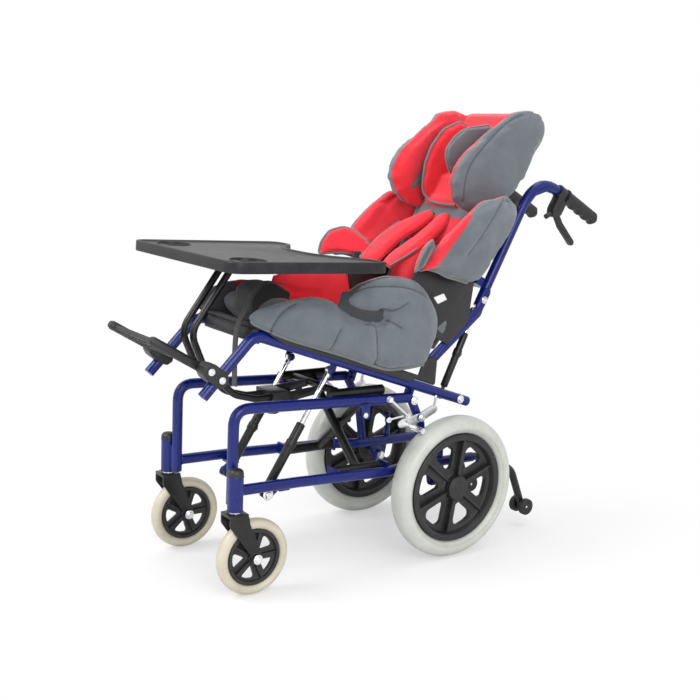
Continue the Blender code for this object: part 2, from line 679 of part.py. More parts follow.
def side_frame(side, tag, finish):
    x = side * FRAME_X
    tail = side * TAIL_X
    stem_y = CASTER_Y - CASTER_TRAIL
    hoop = tube([at(x, (POST_Y, POST_FOOT_Z)), at(x, (POST_Y, RAIL_FRONT_Z)), at(x, RAIL_END)],
                TUBE_R, HOOP_BEND)
    lower = [at(x, p) for p in LOWER_RAIL] + [at(tail, p) for p in LOWER_TAIL]
    lower[0].y += TUBE_R / 2
    lower_rail = tube(lower, TUBE_R, 0.060)
    post = tube([at(x, PIVOT), at(side * 0.118, (0.430, 0.290)), at(side * 0.102, (0.436, 0.194))],
                REAR_POST_R, 0.030)
    housing = turned(Vector((side * CASTER_X, stem_y, 0)), Vector((0, 0, 1)),
                     [(0, HOUSING_FOOT_Z), (HOUSING_R, HOUSING_FOOT_Z), (HOUSING_R, HOUSING_TOP_Z),
                      (0, HOUSING_TOP_Z)], 12)
    weld = box((min(x, side * CASTER_X), stem_y - 0.004, HOUSING_FOOT_Z + 0.008),
               (max(x, side * CASTER_X), POST_Y + 0.005, HOUSING_TOP_Z - 0.008))
    plate = cheek([(REAR_Y - 0.026, 0.196), (REAR_Y + 0.026, 0.195),
                   (REAR_Y + 0.016, REAR_WHEEL_R - 0.016), (REAR_Y - 0.016, REAR_WHEEL_R - 0.016)],
                  side * AXLE_PLATE[0], side * AXLE_PLATE[1], corner=0.010)
    stop = turned(Vector((tail, STOP_SCREW_Y, 0)), Vector((0, 0, 1)),
                  [(0, 0.193), (0.007, 0.193), (0.007, 0.226), (0.0045, 0.226), (0.0045, 0.236),
                   (0.0062, 0.236), (0.0062, 0.262), (0, 0.262)], 8)
    head_x = FRAME_X + TUBE_R
    pivot_bolt = [pin(PIVOT, x, side * (EAR_X[0] - 0.004), PIN_R),
                  pin(PIVOT, side * (EAR_X[0] - 0.004), side * (EAR_X[0] - SEAT_GAP), 0.0085),
                  pin(PIVOT, side * (head_x - 0.004), side * (head_x + 0.003), PIN_HEAD_R, BOLT_SIDES)]
    boss_x = FRAME_X - 0.003
    inner_face, outer_face = BRAKE_ARM_X
    nut = (side * (outer_face + SEAT_GAP), side * (outer_face + 0.004))
    brake_boss = [pin(BRAKE_PIVOT, side * boss_x, side * (inner_face - SEAT_GAP), 0.008),
                  pin(BRAKE_PIVOT, side * boss_x, side * (outer_face + 0.003), PIN_R),
                  pin(BRAKE_PIVOT, *nut, NUT_R, BOLT_SIDES)]
    strut_lug = [strap((TILT_FOOT[0] + 0.024, 0.196), TILT_FOOT, 0.010, side * 0.0895, side * 0.0935),
                 box((min(side * 0.0895, x), TILT_FOOT[0] + 0.010, 0.190),
                     (max(side * 0.0895, x), TILT_FOOT[0] + 0.034, 0.198)),
                 pin(TILT_FOOT, side * 0.0935, side * (TILT_X - EYE_T / 2 - PIN_HEAD_T), PIN_R),
                 pin(TILT_FOOT, side * 0.0935, side * (TILT_X + EYE_T / 2 + SEAT_GAP), BOSS_R),
                 pin(TILT_FOOT, side * (TILT_X - EYE_T / 2 - PIN_HEAD_T),
                     side * (TILT_X - EYE_T / 2 - SEAT_GAP), NUT_R)]
    pieces = [hoop, lower_rail, post, housing, weld, plate, stop, *pivot_bolt, *brake_boss, *strut_lug]
    inner = side * (BRACE_X - 0.012)
    for y0, y1, toward in ((BRACE_Y[0] - SEAT_GAP - SOCKET_T, BRACE_Y[0] - SEAT_GAP, 1),
                           (BRACE_Y[1] + SEAT_GAP, BRACE_Y[1] + SEAT_GAP + SOCKET_T, -1)):
        pieces.append(box((min(inner, x), y0, BRACE_Z - 0.013), (max(inner, x), y1, BRACE_Z + 0.013)))
        face = y1 if toward > 0 else y0
        ends = (face - toward * 0.003, face + toward * 0.007)
        pieces.append(sweep([Vector((side * BRACE_X, y, BRACE_Z)) for y in ends], BRACE_PIN_R, ROD_SIDES))
    cradle_top = SADDLE_Z - SADDLE_R - SEAT_GAP
    for y in (SADDLE_Y[0] + 0.014, SADDLE_Y[1] - 0.014):
        pieces.append(box((min(side * (SADDLE_X - 0.007), x), y - 0.003, cradle_top - 0.007),
                          (max(side * (SADDLE_X - 0.007), x), y + 0.003, cradle_top)))
    cuts = [turned(Vector((side * CASTER_X, stem_y, 0)), Vector((0, 0, 1)),
                   [(0, HOUSING_FOOT_Z - 0.01), (clear(STEM_R), HOUSING_FOOT_Z - 0.01),
                    (clear(STEM_R), HOUSING_TOP_Z + 0.01), (0, HOUSING_TOP_Z + 0.01)], ROD_SIDES),
            pin((REAR_Y, REAR_WHEEL_R), side * 0.09, side * 0.12, clear(AXLE_R)),
            sweep([Vector((tail, PLUG_START_Y - 0.002, LOWER_TAIL[1][1] + 0.0007)),
                   Vector((tail, LOWER_TAIL[1][0] + 0.02, LOWER_TAIL[1][1] - 0.0004))],
                  clear(PLUG_R, TUBE_SIDES) + 0.0002)]
    node(f"side_frame_{tag}", "base", finish, pieces, cuts)


def anti_tipper(side, tag, finish, wheel_finish):
    x = side * TAIL_X
    axle = ANTI_TIP_AXLE
    shank = tube([Vector((x, PLUG_START_Y, LOWER_TAIL[1][1] + 0.0006)),
                  Vector((x, 0.650, LOWER_TAIL[1][1] - 0.001)), at(x, (0.728, 0.140)), at(x, axle)],
                 PLUG_R, 0.045)
    eye = pin(axle, x - PLUG_R, x + PLUG_R, 0.011, 12)
    hole = pin(axle, x - 0.05, x + 0.05, clear(PIN_R))
    node(f"anti_tip_tube_{tag}", "base", finish, [shank, eye], [hole])
    name = f"anti_tip_wheel_{tag}"
    body(name, at(x, axle), "base")
    inner = PLUG_R + RUN_GAP
    outer = inner + 0.012
    half = [(PIN_R, inner), (ANTI_TIP_R - 0.002, inner), (ANTI_TIP_R, inner + 0.002),
            (ANTI_TIP_R, outer - 0.002), (ANTI_TIP_R - 0.002, outer), (0, outer + 0.001)]
    profile = [(r, -h) for r, h in reversed(half)] + half
    node(f"anti_tip_wheels_{tag}", name, wheel_finish, [x_wheel(x, axle, profile, 12)])


def brace_leg(side, tag, leg_y, bolt, finish):
    """One leg: its foot tube on one side and its saddle bar on the other."""
    foot_x = side * BRACE_X
    head_x = -side * SADDLE_X
    foot = sweep([Vector((foot_x, BRACE_Y[0], BRACE_Z)), Vector((foot_x, BRACE_Y[1], BRACE_Z))], TUBE_R)
    leg = sweep([Vector((foot_x, leg_y, BRACE_Z)), Vector((head_x, leg_y, SADDLE_Z))], BRACE_LEG_R)
    saddle = sweep([Vector((head_x, SADDLE_Y[0], SADDLE_Z)), Vector((head_x, SADDLE_Y[1] - 0.012, SADDLE_Z)),
                    Vector((head_x, SADDLE_Y[1], SADDLE_Z))], [SADDLE_R, SADDLE_R, 0.006])
    pieces = [foot, leg, saddle]
    cuts = []
    cross = Vector((0, 0, BRACE_Z + (SADDLE_Z - BRACE_Z) * BRACE_X / (BRACE_X + SADDLE_X)))
    low, high = BRACE_LEG_Y
    if bolt:
        nut = high + BRACE_LEG_R + SEAT_GAP
        for y0, y1, r in ((low, high + 0.016, BRACE_BOLT_R), (nut, high + 0.017, PIN_HEAD_R)):
            pieces.append(sweep([cross + Vector((0, y0, 0)), cross + Vector((0, y1, 0))], r, ROD_SIDES))
        pieces.append(sweep([cross + Vector((0, low, 0)),
                             cross + Vector((0, high - BRACE_LEG_R - SEAT_GAP, 0))], 0.007, ROD_SIDES))
    else:
        cuts.append(sweep([cross + Vector((0, low, 0)), cross + Vector((0, high + 0.03, 0))],
                          clear(BRACE_BOLT_R), ROD_SIDES))
    for y, toward in ((BRACE_Y[0], 1), (BRACE_Y[1], -1)):
        cuts.append(sweep([Vector((foot_x, y - toward * 0.003, BRACE_Z)),
                           Vector((foot_x, y + toward * 0.0075, BRACE_Z))], clear(BRACE_PIN_R), ROD_SIDES))
    node(f"brace_leg_{tag}", "base", finish, pieces, cuts)


def tray_support(finish, knob_finish):
    end = SADDLE_X - SADDLE_R - SEAT_GAP
    bar = sweep([Vector((-end, TRAY_BAR_Y, SADDLE_Z)), Vector((end, TRAY_BAR_Y, SADDLE_Z))], TRAY_BAR_R)
    block = box((-CLAMP_HALF_X, CLAMP_Y[0], TRAY_TUBE_Z - CLAMP_HALF_Z),
                (CLAMP_HALF_X, CLAMP_Y[1], TRAY_TUBE_Z + CLAMP_HALF_Z))
    pieces = [bar, block]
    for x in (-0.034, 0.030):
        pieces.append(cheek([(CLAMP_Y[1] - 0.010, TRAY_TUBE_Z - 0.011), (TRAY_BAR_Y, SADDLE_Z - 0.010),
                             (TRAY_BAR_Y, SADDLE_Z + 0.006), (CLAMP_Y[1] - 0.010, TRAY_TUBE_Z + 0.011)],
                            x, x + 0.004))
    cuts = [sweep([Vector((x, CLAMP_Y[0] - 0.02, TRAY_TUBE_Z)), Vector((x, CLAMP_Y[1] + 0.02, TRAY_TUBE_Z))],
                  clear(TRAY_TUBE_R)) for x in (-TRAY_TUBE_X, TRAY_TUBE_X)]
    node("tray_clamp", "base", finish, pieces, cuts)
    centre = Vector((0, (CLAMP_Y[0] + CLAMP_Y[1]) / 2, TRAY_TUBE_Z - CLAMP_HALF_Z - SEAT_GAP))
    body("tray_knob", centre, "base")
    profile = [(0, 0), (0.0075, 0), (0.0075, -0.008), (KNOB_R * 0.8, -0.012), (KNOB_R, -0.017),
               (KNOB_R, -KNOB_H + 0.004), (KNOB_R * 0.75, -KNOB_H), (0, -KNOB_H)]
    node("tray_clamp_knob", "tray_knob", knob_finish, [turned(centre, Vector((0, 0, 1)), profile, 12)])


def strut(name, tag, carrier, x, foot, head, case_r, reach, finishes):
    """A gas strut as a cylinder on its foot pin and a rod that slides in it."""
    cylinder_finish, rod_finish = finishes
    start = at(x, foot)
    end = at(x, head)
    axis = (end - start).normalized()
    length = (end - start).length
    cylinder = f"{name}_cylinder_{tag}"
    rod = f"{name}_rod_{tag}"
    body(cylinder, start, carrier)
    body(rod, end, cylinder)
    eye = x_wheel(x, foot, [(0, -EYE_T / 2), (EYE_R, -EYE_T / 2), (EYE_R, EYE_T / 2), (0, EYE_T / 2)], 10)
    case = sweep([start, start + axis * 0.016, start + axis * 0.020, start + axis * (reach - 0.004),
                  start + axis * reach], [0.0045, 0.0045, case_r, case_r, case_r - 0.0015])
    bore_ends = (reach - 0.105, reach + 0.02)
    bore = sweep([start + axis * end for end in bore_ends], clear(STRUT_ROD_R), ROD_SIDES)
    hole = pin(foot, x - 0.03, x + 0.03, clear(PIN_R))
    node(f"{name}_cylinder_{tag}_case", cylinder, cylinder_finish, [eye, case], [bore, hole])
    inner = reach - 0.060
    shaft = sweep([start + axis * inner, start + axis * (length - 0.002)], STRUT_ROD_R, ROD_SIDES)
    top = x_wheel(x, head, [(0, -EYE_T / 2), (EYE_R, -EYE_T / 2), (EYE_R, EYE_T / 2), (0, EYE_T / 2)], 10)
    play = pin(head, x - 0.03, x + 0.03, (PIN_R + PIVOT_PLAY) / math.cos(math.pi / ROD_SIDES))
    node(f"{name}_rod_{tag}_shaft", rod, rod_finish, [shaft, top], [play])


def seat_frame(finish):
    pieces = []
    cuts = []
    head = seat(TILT_HEAD_S, TILT_HEAD_T)
    foot = seat(RECLINE_FOOT_S, RECLINE_FOOT_T)
    rail_over_pivot = seat(0.0, SEAT_RAIL_T)
    for side, _ in SIDES:
        x = side * SEAT_RAIL_X
        rail = tube([at(x, seat(SEAT_RAIL_REAR_S, SEAT_RAIL_T)), at(x, HANGER_CORNER), at(x, HANGER_END)],
                    TUBE_R, 0.035)
        ear = strap(rail_over_pivot, PIVOT, 0.0110, side * EAR_X[0], side * EAR_X[1])
        weld = pin(rail_over_pivot, side * (EAR_X[0] + 0.001), x, 0.009)
        lug_in = TILT_X + EYE_T / 2 + 0.0008
        lug_out = lug_in + 0.0034
        lug = strap(seat(TILT_HEAD_S, SEAT_RAIL_T), head, 0.008, side * lug_in, side * lug_out)
        top_pin = pin(head, side * lug_out, side * (TILT_X - EYE_T / 2 - PIN_HEAD_T), PIN_R)
        top_head = pin(head, side * (TILT_X - EYE_T / 2 - PIN_HEAD_T),
                       side * (TILT_X - EYE_T / 2 - SEAT_GAP), PIN_HEAD_R)
        foot_pin = pin(foot, x, side * (RECLINE_X - EYE_T / 2 - PIN_HEAD_T), PIN_R)
        foot_boss = pin(foot, x, side * (RECLINE_X + EYE_T / 2 + SEAT_GAP), BOSS_R)
        foot_head = pin(foot, side * (RECLINE_X - EYE_T / 2 - PIN_HEAD_T),
                        side * (RECLINE_X - EYE_T / 2 - SEAT_GAP), NUT_R)
        bolt_place = seat(SEAT_RAIL_REAR_S - 0.030, SEAT_RAIL_T)
        bolt = pin(bolt_place, x, side * (SEAT_RAIL_X + TUBE_R + 0.002), BOSS_R, BOLT_SIDES)
        pieces.extend([rail, ear, weld, lug, top_pin, top_head, foot_pin, foot_boss, foot_head, bolt])
        cuts.append(pin(PIVOT, side * 0.100, side * 0.1098, clear(PIN_R)))
    for s in (-0.355, TILT_HEAD_S, 0.045):
        line = seat(s, SEAT_RAIL_T)
        pieces.append(pin(line, -SEAT_RAIL_X, SEAT_RAIL_X, CROSS_R, 12))
    node("seat_frame_tubes", "seat", finish, pieces, cuts)


def seat_pan(finish):
    outline = [(PAN_S[0], PAN_T[0]), (PAN_S[1], PAN_T[0]), (PAN_S[1], PAN_T[1]), (PAN_S[0], PAN_T[1])]
    board = cheek([seat(*p) for p in outline], -PAN_HALF, PAN_HALF, corner=0.004, steps=2)
    hinge_s = 0.0280
    hinge_t = 0.0895
    pieces = [board]
    for side, _ in SIDES:
        wall = [(PAN_S[1] - 0.012, PAN_T[0]), (0.058, PAN_T[0]), (0.050, 0.070),
                (hinge_s + 0.014, hinge_t + 0.008), (hinge_s, hinge_t + 0.014),
                (hinge_s - 0.013, hinge_t + 0.004), (PAN_S[1] - 0.012, 0.070)]
        x0 = side * CHEEK_X[0]
        pieces.append(cheek([seat(*p) for p in wall], x0, side * CHEEK_X[1], corner=0.005, steps=2))
        pieces.append(pin(HINGE, side * CHEEK_X[1], side * (ARM_X[0] - 0.004), PIN_R))
        pieces.append(pin(HINGE, side * (ARM_X[0] - 0.004), side * (ARM_X[0] - SEAT_GAP), PIN_HEAD_R))
    node("seat_pan", "seat", finish, pieces)


def rounded_rim(half, low, high, corner, place):
    """A pad's rim: a rectangle whose corners are cut and whose ends bow out a little."""
    middle = (low + high) / 2
    right = [(0, low - RIM_BOW), (half - corner, low), (half, low + corner), (half - RIM_BOW / 2, middle),
             (half, high - corner), (half - corner, high), (0, high + RIM_BOW / 2)]
    left = [(-x, along) for x, along in reversed(right[1:-1])]
    return smooth_loop([place(x, along) for x, along in right + left])


def seat_cushion(finish):
    mid_t = PAN_T[1] + CUSHION_T
    low, high = CUSHION_S
    rim = rounded_rim(CUSHION_HALF, low, high, CUSHION_CORNER, lambda x, s: at(x, seat(s, mid_t)))
    up = at(0, seat(0, 1)) - at(0, seat(0, 0))
    cushion = pad(rim, at(0, seat((low + high) / 2, mid_t)), up * CUSHION_RISE, up * (SEAT_GAP - CUSHION_T))
    rests_t = PAN_T[1] + SEAT_GAP
    reach = SEAT_RAIL_X
    front, rear = high + reach, low - reach
    below = [seat(*p) for p in ((rear, rests_t), (front, rests_t), (front, -reach), (rear, -reach))]
    floor = cheek(below, -reach, reach)
    node("seat_cushion", "seat", finish, [cushion], [floor])


def seat_bolster(side, tag, finish):
    """Thigh pad and hip pad sewn into one side bolster, with the arm opening between them."""
    pieces = []
    for outline, hub, rise in ((THIGH_RIM, THIGH_HUB, BOLSTER_HALF), (HIP_RIM, HIP_HUB, BOLSTER_HALF)):
        rim = smooth_loop([at(side * BOLSTER_X, p) for p in outline])
        pieces.append(pad(rim, at(side * BOLSTER_X, hub), Vector((rise, 0, 0)), Vector((-rise, 0, 0))))
    x = side * SEAT_RAIL_X
    rail = tube([at(x, seat(SEAT_RAIL_REAR_S + 0.02, SEAT_RAIL_T)), at(x, HANGER_CORNER), at(x, HANGER_END)],
                clear(TUBE_R, TUBE_SIDES), 0.035)
    node(f"seat_bolster_{tag}", "seat", finish, pieces, [rail])


def back_tube_line(x):
    corners = [at(x, back(BACK_TUBE_FOOT_U, BACK_TUBE_V)), at(x, HANDLE_CORNER), at(x, HANDLE_END)]
    return round_corners(corners, HANDLE_BEND)


def back_frame(finish):
    pieces = []
    cuts = []
    head = back(*RECLINE_HEAD)
    for side, _ in SIDES:
        x = side * BACK_TUBE_X
        pieces.append(sweep(back_tube_line(x), TUBE_R))
        arm = strap(HINGE, head, 0.012, side * ARM_X[0], side * ARM_X[1])
        splice = strap(head, back(0.200, BACK_TUBE_V), 0.010, side * ARM_X[0], side * ARM_X[1])
        pieces.extend([arm, splice])
        pieces.append(pin(head, side * ARM_X[0], side * (RECLINE_X - EYE_T / 2 - PIN_HEAD_T), PIN_R))
        pieces.append(pin(head, side * ARM_X[0], side * (RECLINE_X + EYE_T / 2 + SEAT_GAP), BOSS_R))
        pieces.append(pin(head, side * (RECLINE_X - EYE_T / 2 - PIN_HEAD_T),
                          side * (RECLINE_X - EYE_T / 2 - SEAT_GAP), NUT_R))
        bolt = back(BACK_TUBE_FOOT_U + 0.017, BACK_TUBE_V)
        pieces.append(pin(bolt, x, side * (BACK_TUBE_X + TUBE_R + 0.003), BOSS_R, BOLT_SIDES))
        cuts.append(pin(HINGE, side * 0.100, side * 0.1118, clear(PIN_R)))
    front_v = SHELL_V - SHELL_WALL / 2 - SEAT_GAP
    for u in CROSSBAR_U:
        bar = [(u - 0.010, BACK_TUBE_V + 0.002), (u + 0.010, BACK_TUBE_V + 0.002), (u + 0.010, front_v),
               (u - 0.010, front_v)]
        pieces.append(cheek([back(*p) for p in bar], -BACK_TUBE_X, BACK_TUBE_X))
    sleeve = [(SLEEVE_U[0], STEM_V[0] - 0.004), (SLEEVE_U[1], STEM_V[0] - 0.004),
              (SLEEVE_U[1], STEM_V[1] + 0.004), (SLEEVE_U[0], STEM_V[1] + 0.004)]
    pieces.append(cheek([back(*p) for p in sleeve], -STEM_HALF - 0.005, STEM_HALF + 0.005))
    slot = [(SLEEVE_U[0] - 0.03, STEM_V[0] - SEAT_GAP), (SLEEVE_U[1] + 0.03, STEM_V[0] - SEAT_GAP),
            (SLEEVE_U[1] + 0.03, STEM_V[1] + SEAT_GAP), (SLEEVE_U[0] - 0.03, STEM_V[1] + SEAT_GAP)]
    cuts.append(cheek([back(*p) for p in slot], -STEM_HALF - SEAT_GAP, STEM_HALF + SEAT_GAP))
    node("back_frame_tubes", "back", finish, pieces, cuts)


def bucket(inside, outside, front_more=0.0, u_more=0.0):
    """A U-shaped wall up the back; inside and outside are offsets from its middle."""
    levels = [(lerp(*SHELL_U, share), front, width) for share, front, width in SHELL_LEVELS]
    if u_more:
        levels.insert(0, (levels[0][0] - u_more, *levels[0][1:]))
        levels.append((levels[-1][0] + u_more, *levels[-1][1:]))
    sections = []
    count = 0
    for u, front, width in levels:
        outline = []
        for offset in (outside, inside):
            half = SHELL_HALF * width - SHELL_WALL / 2 + offset
            rear = SHELL_V - offset
            corner = SHELL_CORNER + offset
            run = [(half, front + front_more)]
            for k in range(4):
                a = math.pi / 2 * k / 3
                run.append((half - corner + corner * math.cos(a), rear + corner - corner * math.sin(a)))
            run = run + [(-x, v) for x, v in reversed(run)]
            outline.extend(run if offset == outside else reversed(run))
        count = len(outline)
        sections.append([at(x, back(u, v)) for x, v in outline])
    verts = [p for section in sections for p in section]
    faces = []
    for first in (0, (len(sections) - 1) * count):
        for k in range(count // 2 - 1):
            mate = count - 1 - k
            faces.append([first + k, first + k + 1, first + mate - 1, first + mate])
    for i in range(len(sections) - 1):
        for k in range(count):
            n = (k + 1) % count
            low = i * count
            faces.append([low + k, low + n, low + count + n, low + count + k])
    return solid(verts, faces)


def wing_fin(side, gap=0.0):
    """The flange on the shell's flank that carries a wing, or its slot."""
    u0, u1, v0, v1 = FIN
    corners = ((u0 - gap, v0 - gap), (u1 + gap, v0 - gap), (u1 + gap, v1 + gap), (u0 - gap, v1 + gap))
    return cheek([back(*p) for p in corners], side * (SHELL_HALF - 0.003), side * (FIN_X + gap))


def back_shell(finish):
    half = SHELL_WALL / 2
    node("back_shell", "back", finish, [bucket(-half, half), wing_fin(1), wing_fin(-1)])


def back_cushion(finish):
    low, high = BACK_PAD_U
    rim = rounded_rim(SHELL_HALF, low, high, CUSHION_CORNER, lambda x, u: at(x, back(u, BACK_PAD_V)))
    hub = at(0, back((low + high) / 2, BACK_PAD_V))
    forward = at(0, back(0, 1)) - at(0, back(0, 0))
    cushion = pad(rim, hub, forward * BACK_PAD_RISE, forward * (SHELL_V - 2 * SHELL_WALL - BACK_PAD_V))
    past_shell = 2 * CUSHION_CORNER
    around = bucket(-SHELL_WALL / 2 - SEAT_GAP, past_shell, past_shell, CUSHION_CORNER)
    node("back_cushion", "back", finish, [cushion], [around])


def back_wing(side, tag, finish):
    """A side wing of the back, flared outward towards its front edge."""
    rim = smooth_loop([at(side * x, back(u, v)) for u, v, x in WING_RIM])
    hub_u, hub_v, hub_x = WING_HUB
    hub = at(side * hub_x, back(hub_u, hub_v))
    out = Vector((side * WING_LEAN[0], 0, 0)) + (at(0, back(0, WING_LEAN[1])) - at(0, back(0, 0)))
    wing = pad(rim, hub, out * WING_RISE, out * -WING_RISE)
    node(f"back_wing_{tag}", "back", finish, [wing], [wing_fin(side, SEAT_GAP)])


def head_wing_x(u):
    """The head wings stand further apart towards their tops."""
    return HEAD_FOOT_X + HEAD_FLARE * (u - HEAD_WING_RIM[0][0])


def headrest(stem_finish, pad_finish):
    bar = [(STEM_U[0], STEM_V[0]), (STEM_U[1], STEM_V[0]), (STEM_U[1], STEM_V[1]), (STEM_U[0], STEM_V[1])]
    pieces = [cheek([back(*p) for p in bar], -STEM_HALF, STEM_HALF)]
    (u0, u1), (v0, v1) = HEAD_SHELL_BLOCK
    block = [(u0, v0 - 0.003), (u1, v0 - 0.003), (u1, v1), (u0, v1)]
    pieces.append(cheek([back(*p) for p in block], -HEAD_BLOCK_HALF, HEAD_BLOCK_HALF))
    body("headrest", at(0, back(STEM_U[0], STEM_V[0])), "back")
    node("headrest_stem", "headrest", stem_finish, pieces)
    parts = []
    for side, _ in SIDES:
        rim = smooth_loop([at(side * head_wing_x(u), back(u, v)) for u, v in HEAD_WING_RIM])
        hub_u, hub_v, hub_x = HEAD_WING_HUB
        rise = Vector((side * HEAD_WING_RISE, 0, 0))
        parts.append(pad(rim, at(side * hub_x, back(hub_u, hub_v)), rise, -rise))
    rim = smooth_loop([at(x, back(u, HEAD_PANEL_HUB[1])) for x, u in HEAD_PANEL])
    forward = at(0, back(0, 1)) - at(0, back(0, 0))
    front_rise, rear_rise = HEAD_PANEL_RISE
    parts.append(pad(rim, at(0, back(*HEAD_PANEL_HUB)), forward * front_rise, forward * rear_rise))
    hole = [(u0 - SEAT_GAP, v0), (u1 + SEAT_GAP, v0), (u1 + SEAT_GAP, v1 + SEAT_GAP),
            (u0 - SEAT_GAP, v1 + SEAT_GAP)]
    cutter = cheek([back(*p) for p in hole], -HEAD_BLOCK_HALF - SEAT_GAP, HEAD_BLOCK_HALF + SEAT_GAP)
    node("head_cushion", "headrest", pad_finish, parts, [cutter])


def handle_line():
    start = Vector((0, *GRIP_START))
    end = Vector((0, *GRIP_END))
    return start, (end - start).normalized(), (end - start).length


def hand_grip(side, tag, finish):
    start, along, length = handle_line()
    start = start + Vector((side * BACK_TUBE_X, 0, 0))
    sleeve = sweep([start, start + along * 0.006, start + along * (length - 0.006), start + along * length],
                   [GRIP_R + 0.002, GRIP_R, GRIP_R, GRIP_R - 0.004], 12)
    pieces = [sleeve]
    under = along.cross(Vector((-1, 0, 0)))
    if under.z > 0:
        under = -under
    pitch = (length - 0.018) / GRIP_RIDGES
    for k in range(GRIP_RIDGES):
        centre = start + along * (0.014 + pitch * (k + 0.5)) + under * (GRIP_R * 0.42)
        pieces.append(turned(centre, along, [(0, -pitch * 0.42), (0.0105, -pitch * 0.36), (0.0128, 0),
                                             (0.0105, pitch * 0.36), (0, pitch * 0.42)], 8))
    bore = sweep([start - along * 0.01, start + along * (length - 0.0035)], clear(TUBE_R, TUBE_SIDES))
    node(f"hand_grip_{tag}", "back", finish, pieces, [bore])


def brake_lever(side, tag, housing_finish, lever_finish):
    start, along, _ = handle_line()
    x = side * BACK_TUBE_X
    ring_mid = start - along * RING_BACK
    ring_mid.x = x
    ring = sweep([ring_mid - along * RING_HALF, ring_mid + along * RING_HALF], TUBE_R + RING_WALL, 12)
    drop_top = (ring_mid.y + 0.002, ring_mid.z - TUBE_R - 0.003)
    drop = strap(drop_top, LEVER_PIVOT, 0.015, x - HOUSING_HALF, x + HOUSING_HALF)
    barrel_end = at(x, LEVER_PIVOT) + Vector((0, *BARREL_LEAN)) * BARREL_L
    barrel = sweep([at(x, LEVER_PIVOT), barrel_end], BARREL_R)
    pivot_y, pivot_z = LEVER_PIVOT
    room = [(pivot_y + dy, pivot_z + dz) for dy, dz in LEVER_ROOM]
    slot = cheek(room, x - SLOT_HALF, x + SLOT_HALF)
    bore = sweep(back_tube_line(x), clear(TUBE_R, TUBE_SIDES))
    housing = fused([drop, ring, barrel], [slot, bore])
    axle_half = HOUSING_HALF - 0.0025
    axle = pin(LEVER_PIVOT, x - axle_half, x + axle_half, LEVER_PIN_R)
    node(f"lever_housing_{tag}", "back", housing_finish, [housing, axle])
    name = f"brake_lever_{tag}"
    body(name, at(x, LEVER_PIVOT), "back")
    half = SLOT_HALF - RUN_GAP
    bend_y = lerp(LEVER_PIVOT[0], LEVER_TIP[0], LEVER_BEND_AT) - 0.004
    bend_z = lerp(LEVER_PIVOT[1], LEVER_TIP[1], LEVER_BEND_AT) - 0.003
    root = strap(LEVER_PIVOT, (bend_y, bend_z), LEVER_HALF_W, x - half, x + half)
    blade = strap((bend_y, bend_z), LEVER_TIP, LEVER_HALF_W + 0.0005, x - half, x + half)
    hole = pin(LEVER_PIVOT, x - HOUSING_HALF, x + HOUSING_HALF, clear(LEVER_PIN_R))
    node(f"brake_lever_{tag}_blade", name, lever_finish, [root, blade], [hole])


def brake_arm(side, tag, arm_finish, roller_finish):
    name = f"brake_arm_{tag}"
    x0, x1 = (side * v for v in BRAKE_ARM_X)
    body(name, at(x0, BRAKE_PIVOT), "base")
    front = strap(BRAKE_FRONT, BRAKE_PIVOT, BRAKE_ARM_HALF_W, x0, x1)
    rear = strap(BRAKE_PIVOT, BRAKE_REAR, BRAKE_ARM_HALF_W, x0, x1)
    drop = strap(roller_centre(), (BRAKE_PIVOT[0] - 0.012, BRAKE_PIVOT[1]), BRAKE_ARM_HALF_W - 0.001, x0, x1)
    rod_x = (x0 + x1) / 2
    pull = sweep([at(rod_x, BRAKE_REAR), at(rod_x, PULL_ROD_TOP)], PULL_ROD_R, ROD_SIDES)
    past = side * FRAME_X, side * (BRAKE_ARM_X[1] + TUBE_R)
    cuts = [pin(BRAKE_PIVOT, *past, clear(PIN_R))]
    for f in BRAKE_HOLES_AT:
        spot = (lerp(BRAKE_FRONT[0], BRAKE_PIVOT[0], f), lerp(BRAKE_FRONT[1], BRAKE_PIVOT[1], f) + 0.002)
        cuts.append(pin(spot, *past, BRAKE_HOLE_R, BOLT_SIDES))
    node(f"brake_arm_{tag}_plate", name, arm_finish, [front, rear, drop, pull], cuts)
    start = BRAKE_ARM_X[1] + SEAT_GAP
    neck, edge = ROLLER_R - 0.002, 0.002
    profile = [(0, start), (neck, start), (neck, start + edge + 0.001), (ROLLER_R, start + 2 * edge + 0.001),
               (ROLLER_R, ROLLER_END_X - edge), (neck, ROLLER_END_X), (0, ROLLER_END_X)]
    profile = [(r, side * h) for r, h in profile]
    node(f"brake_roller_{tag}", name, roller_finish, [x_wheel(0, roller_centre(), profile, 12)])


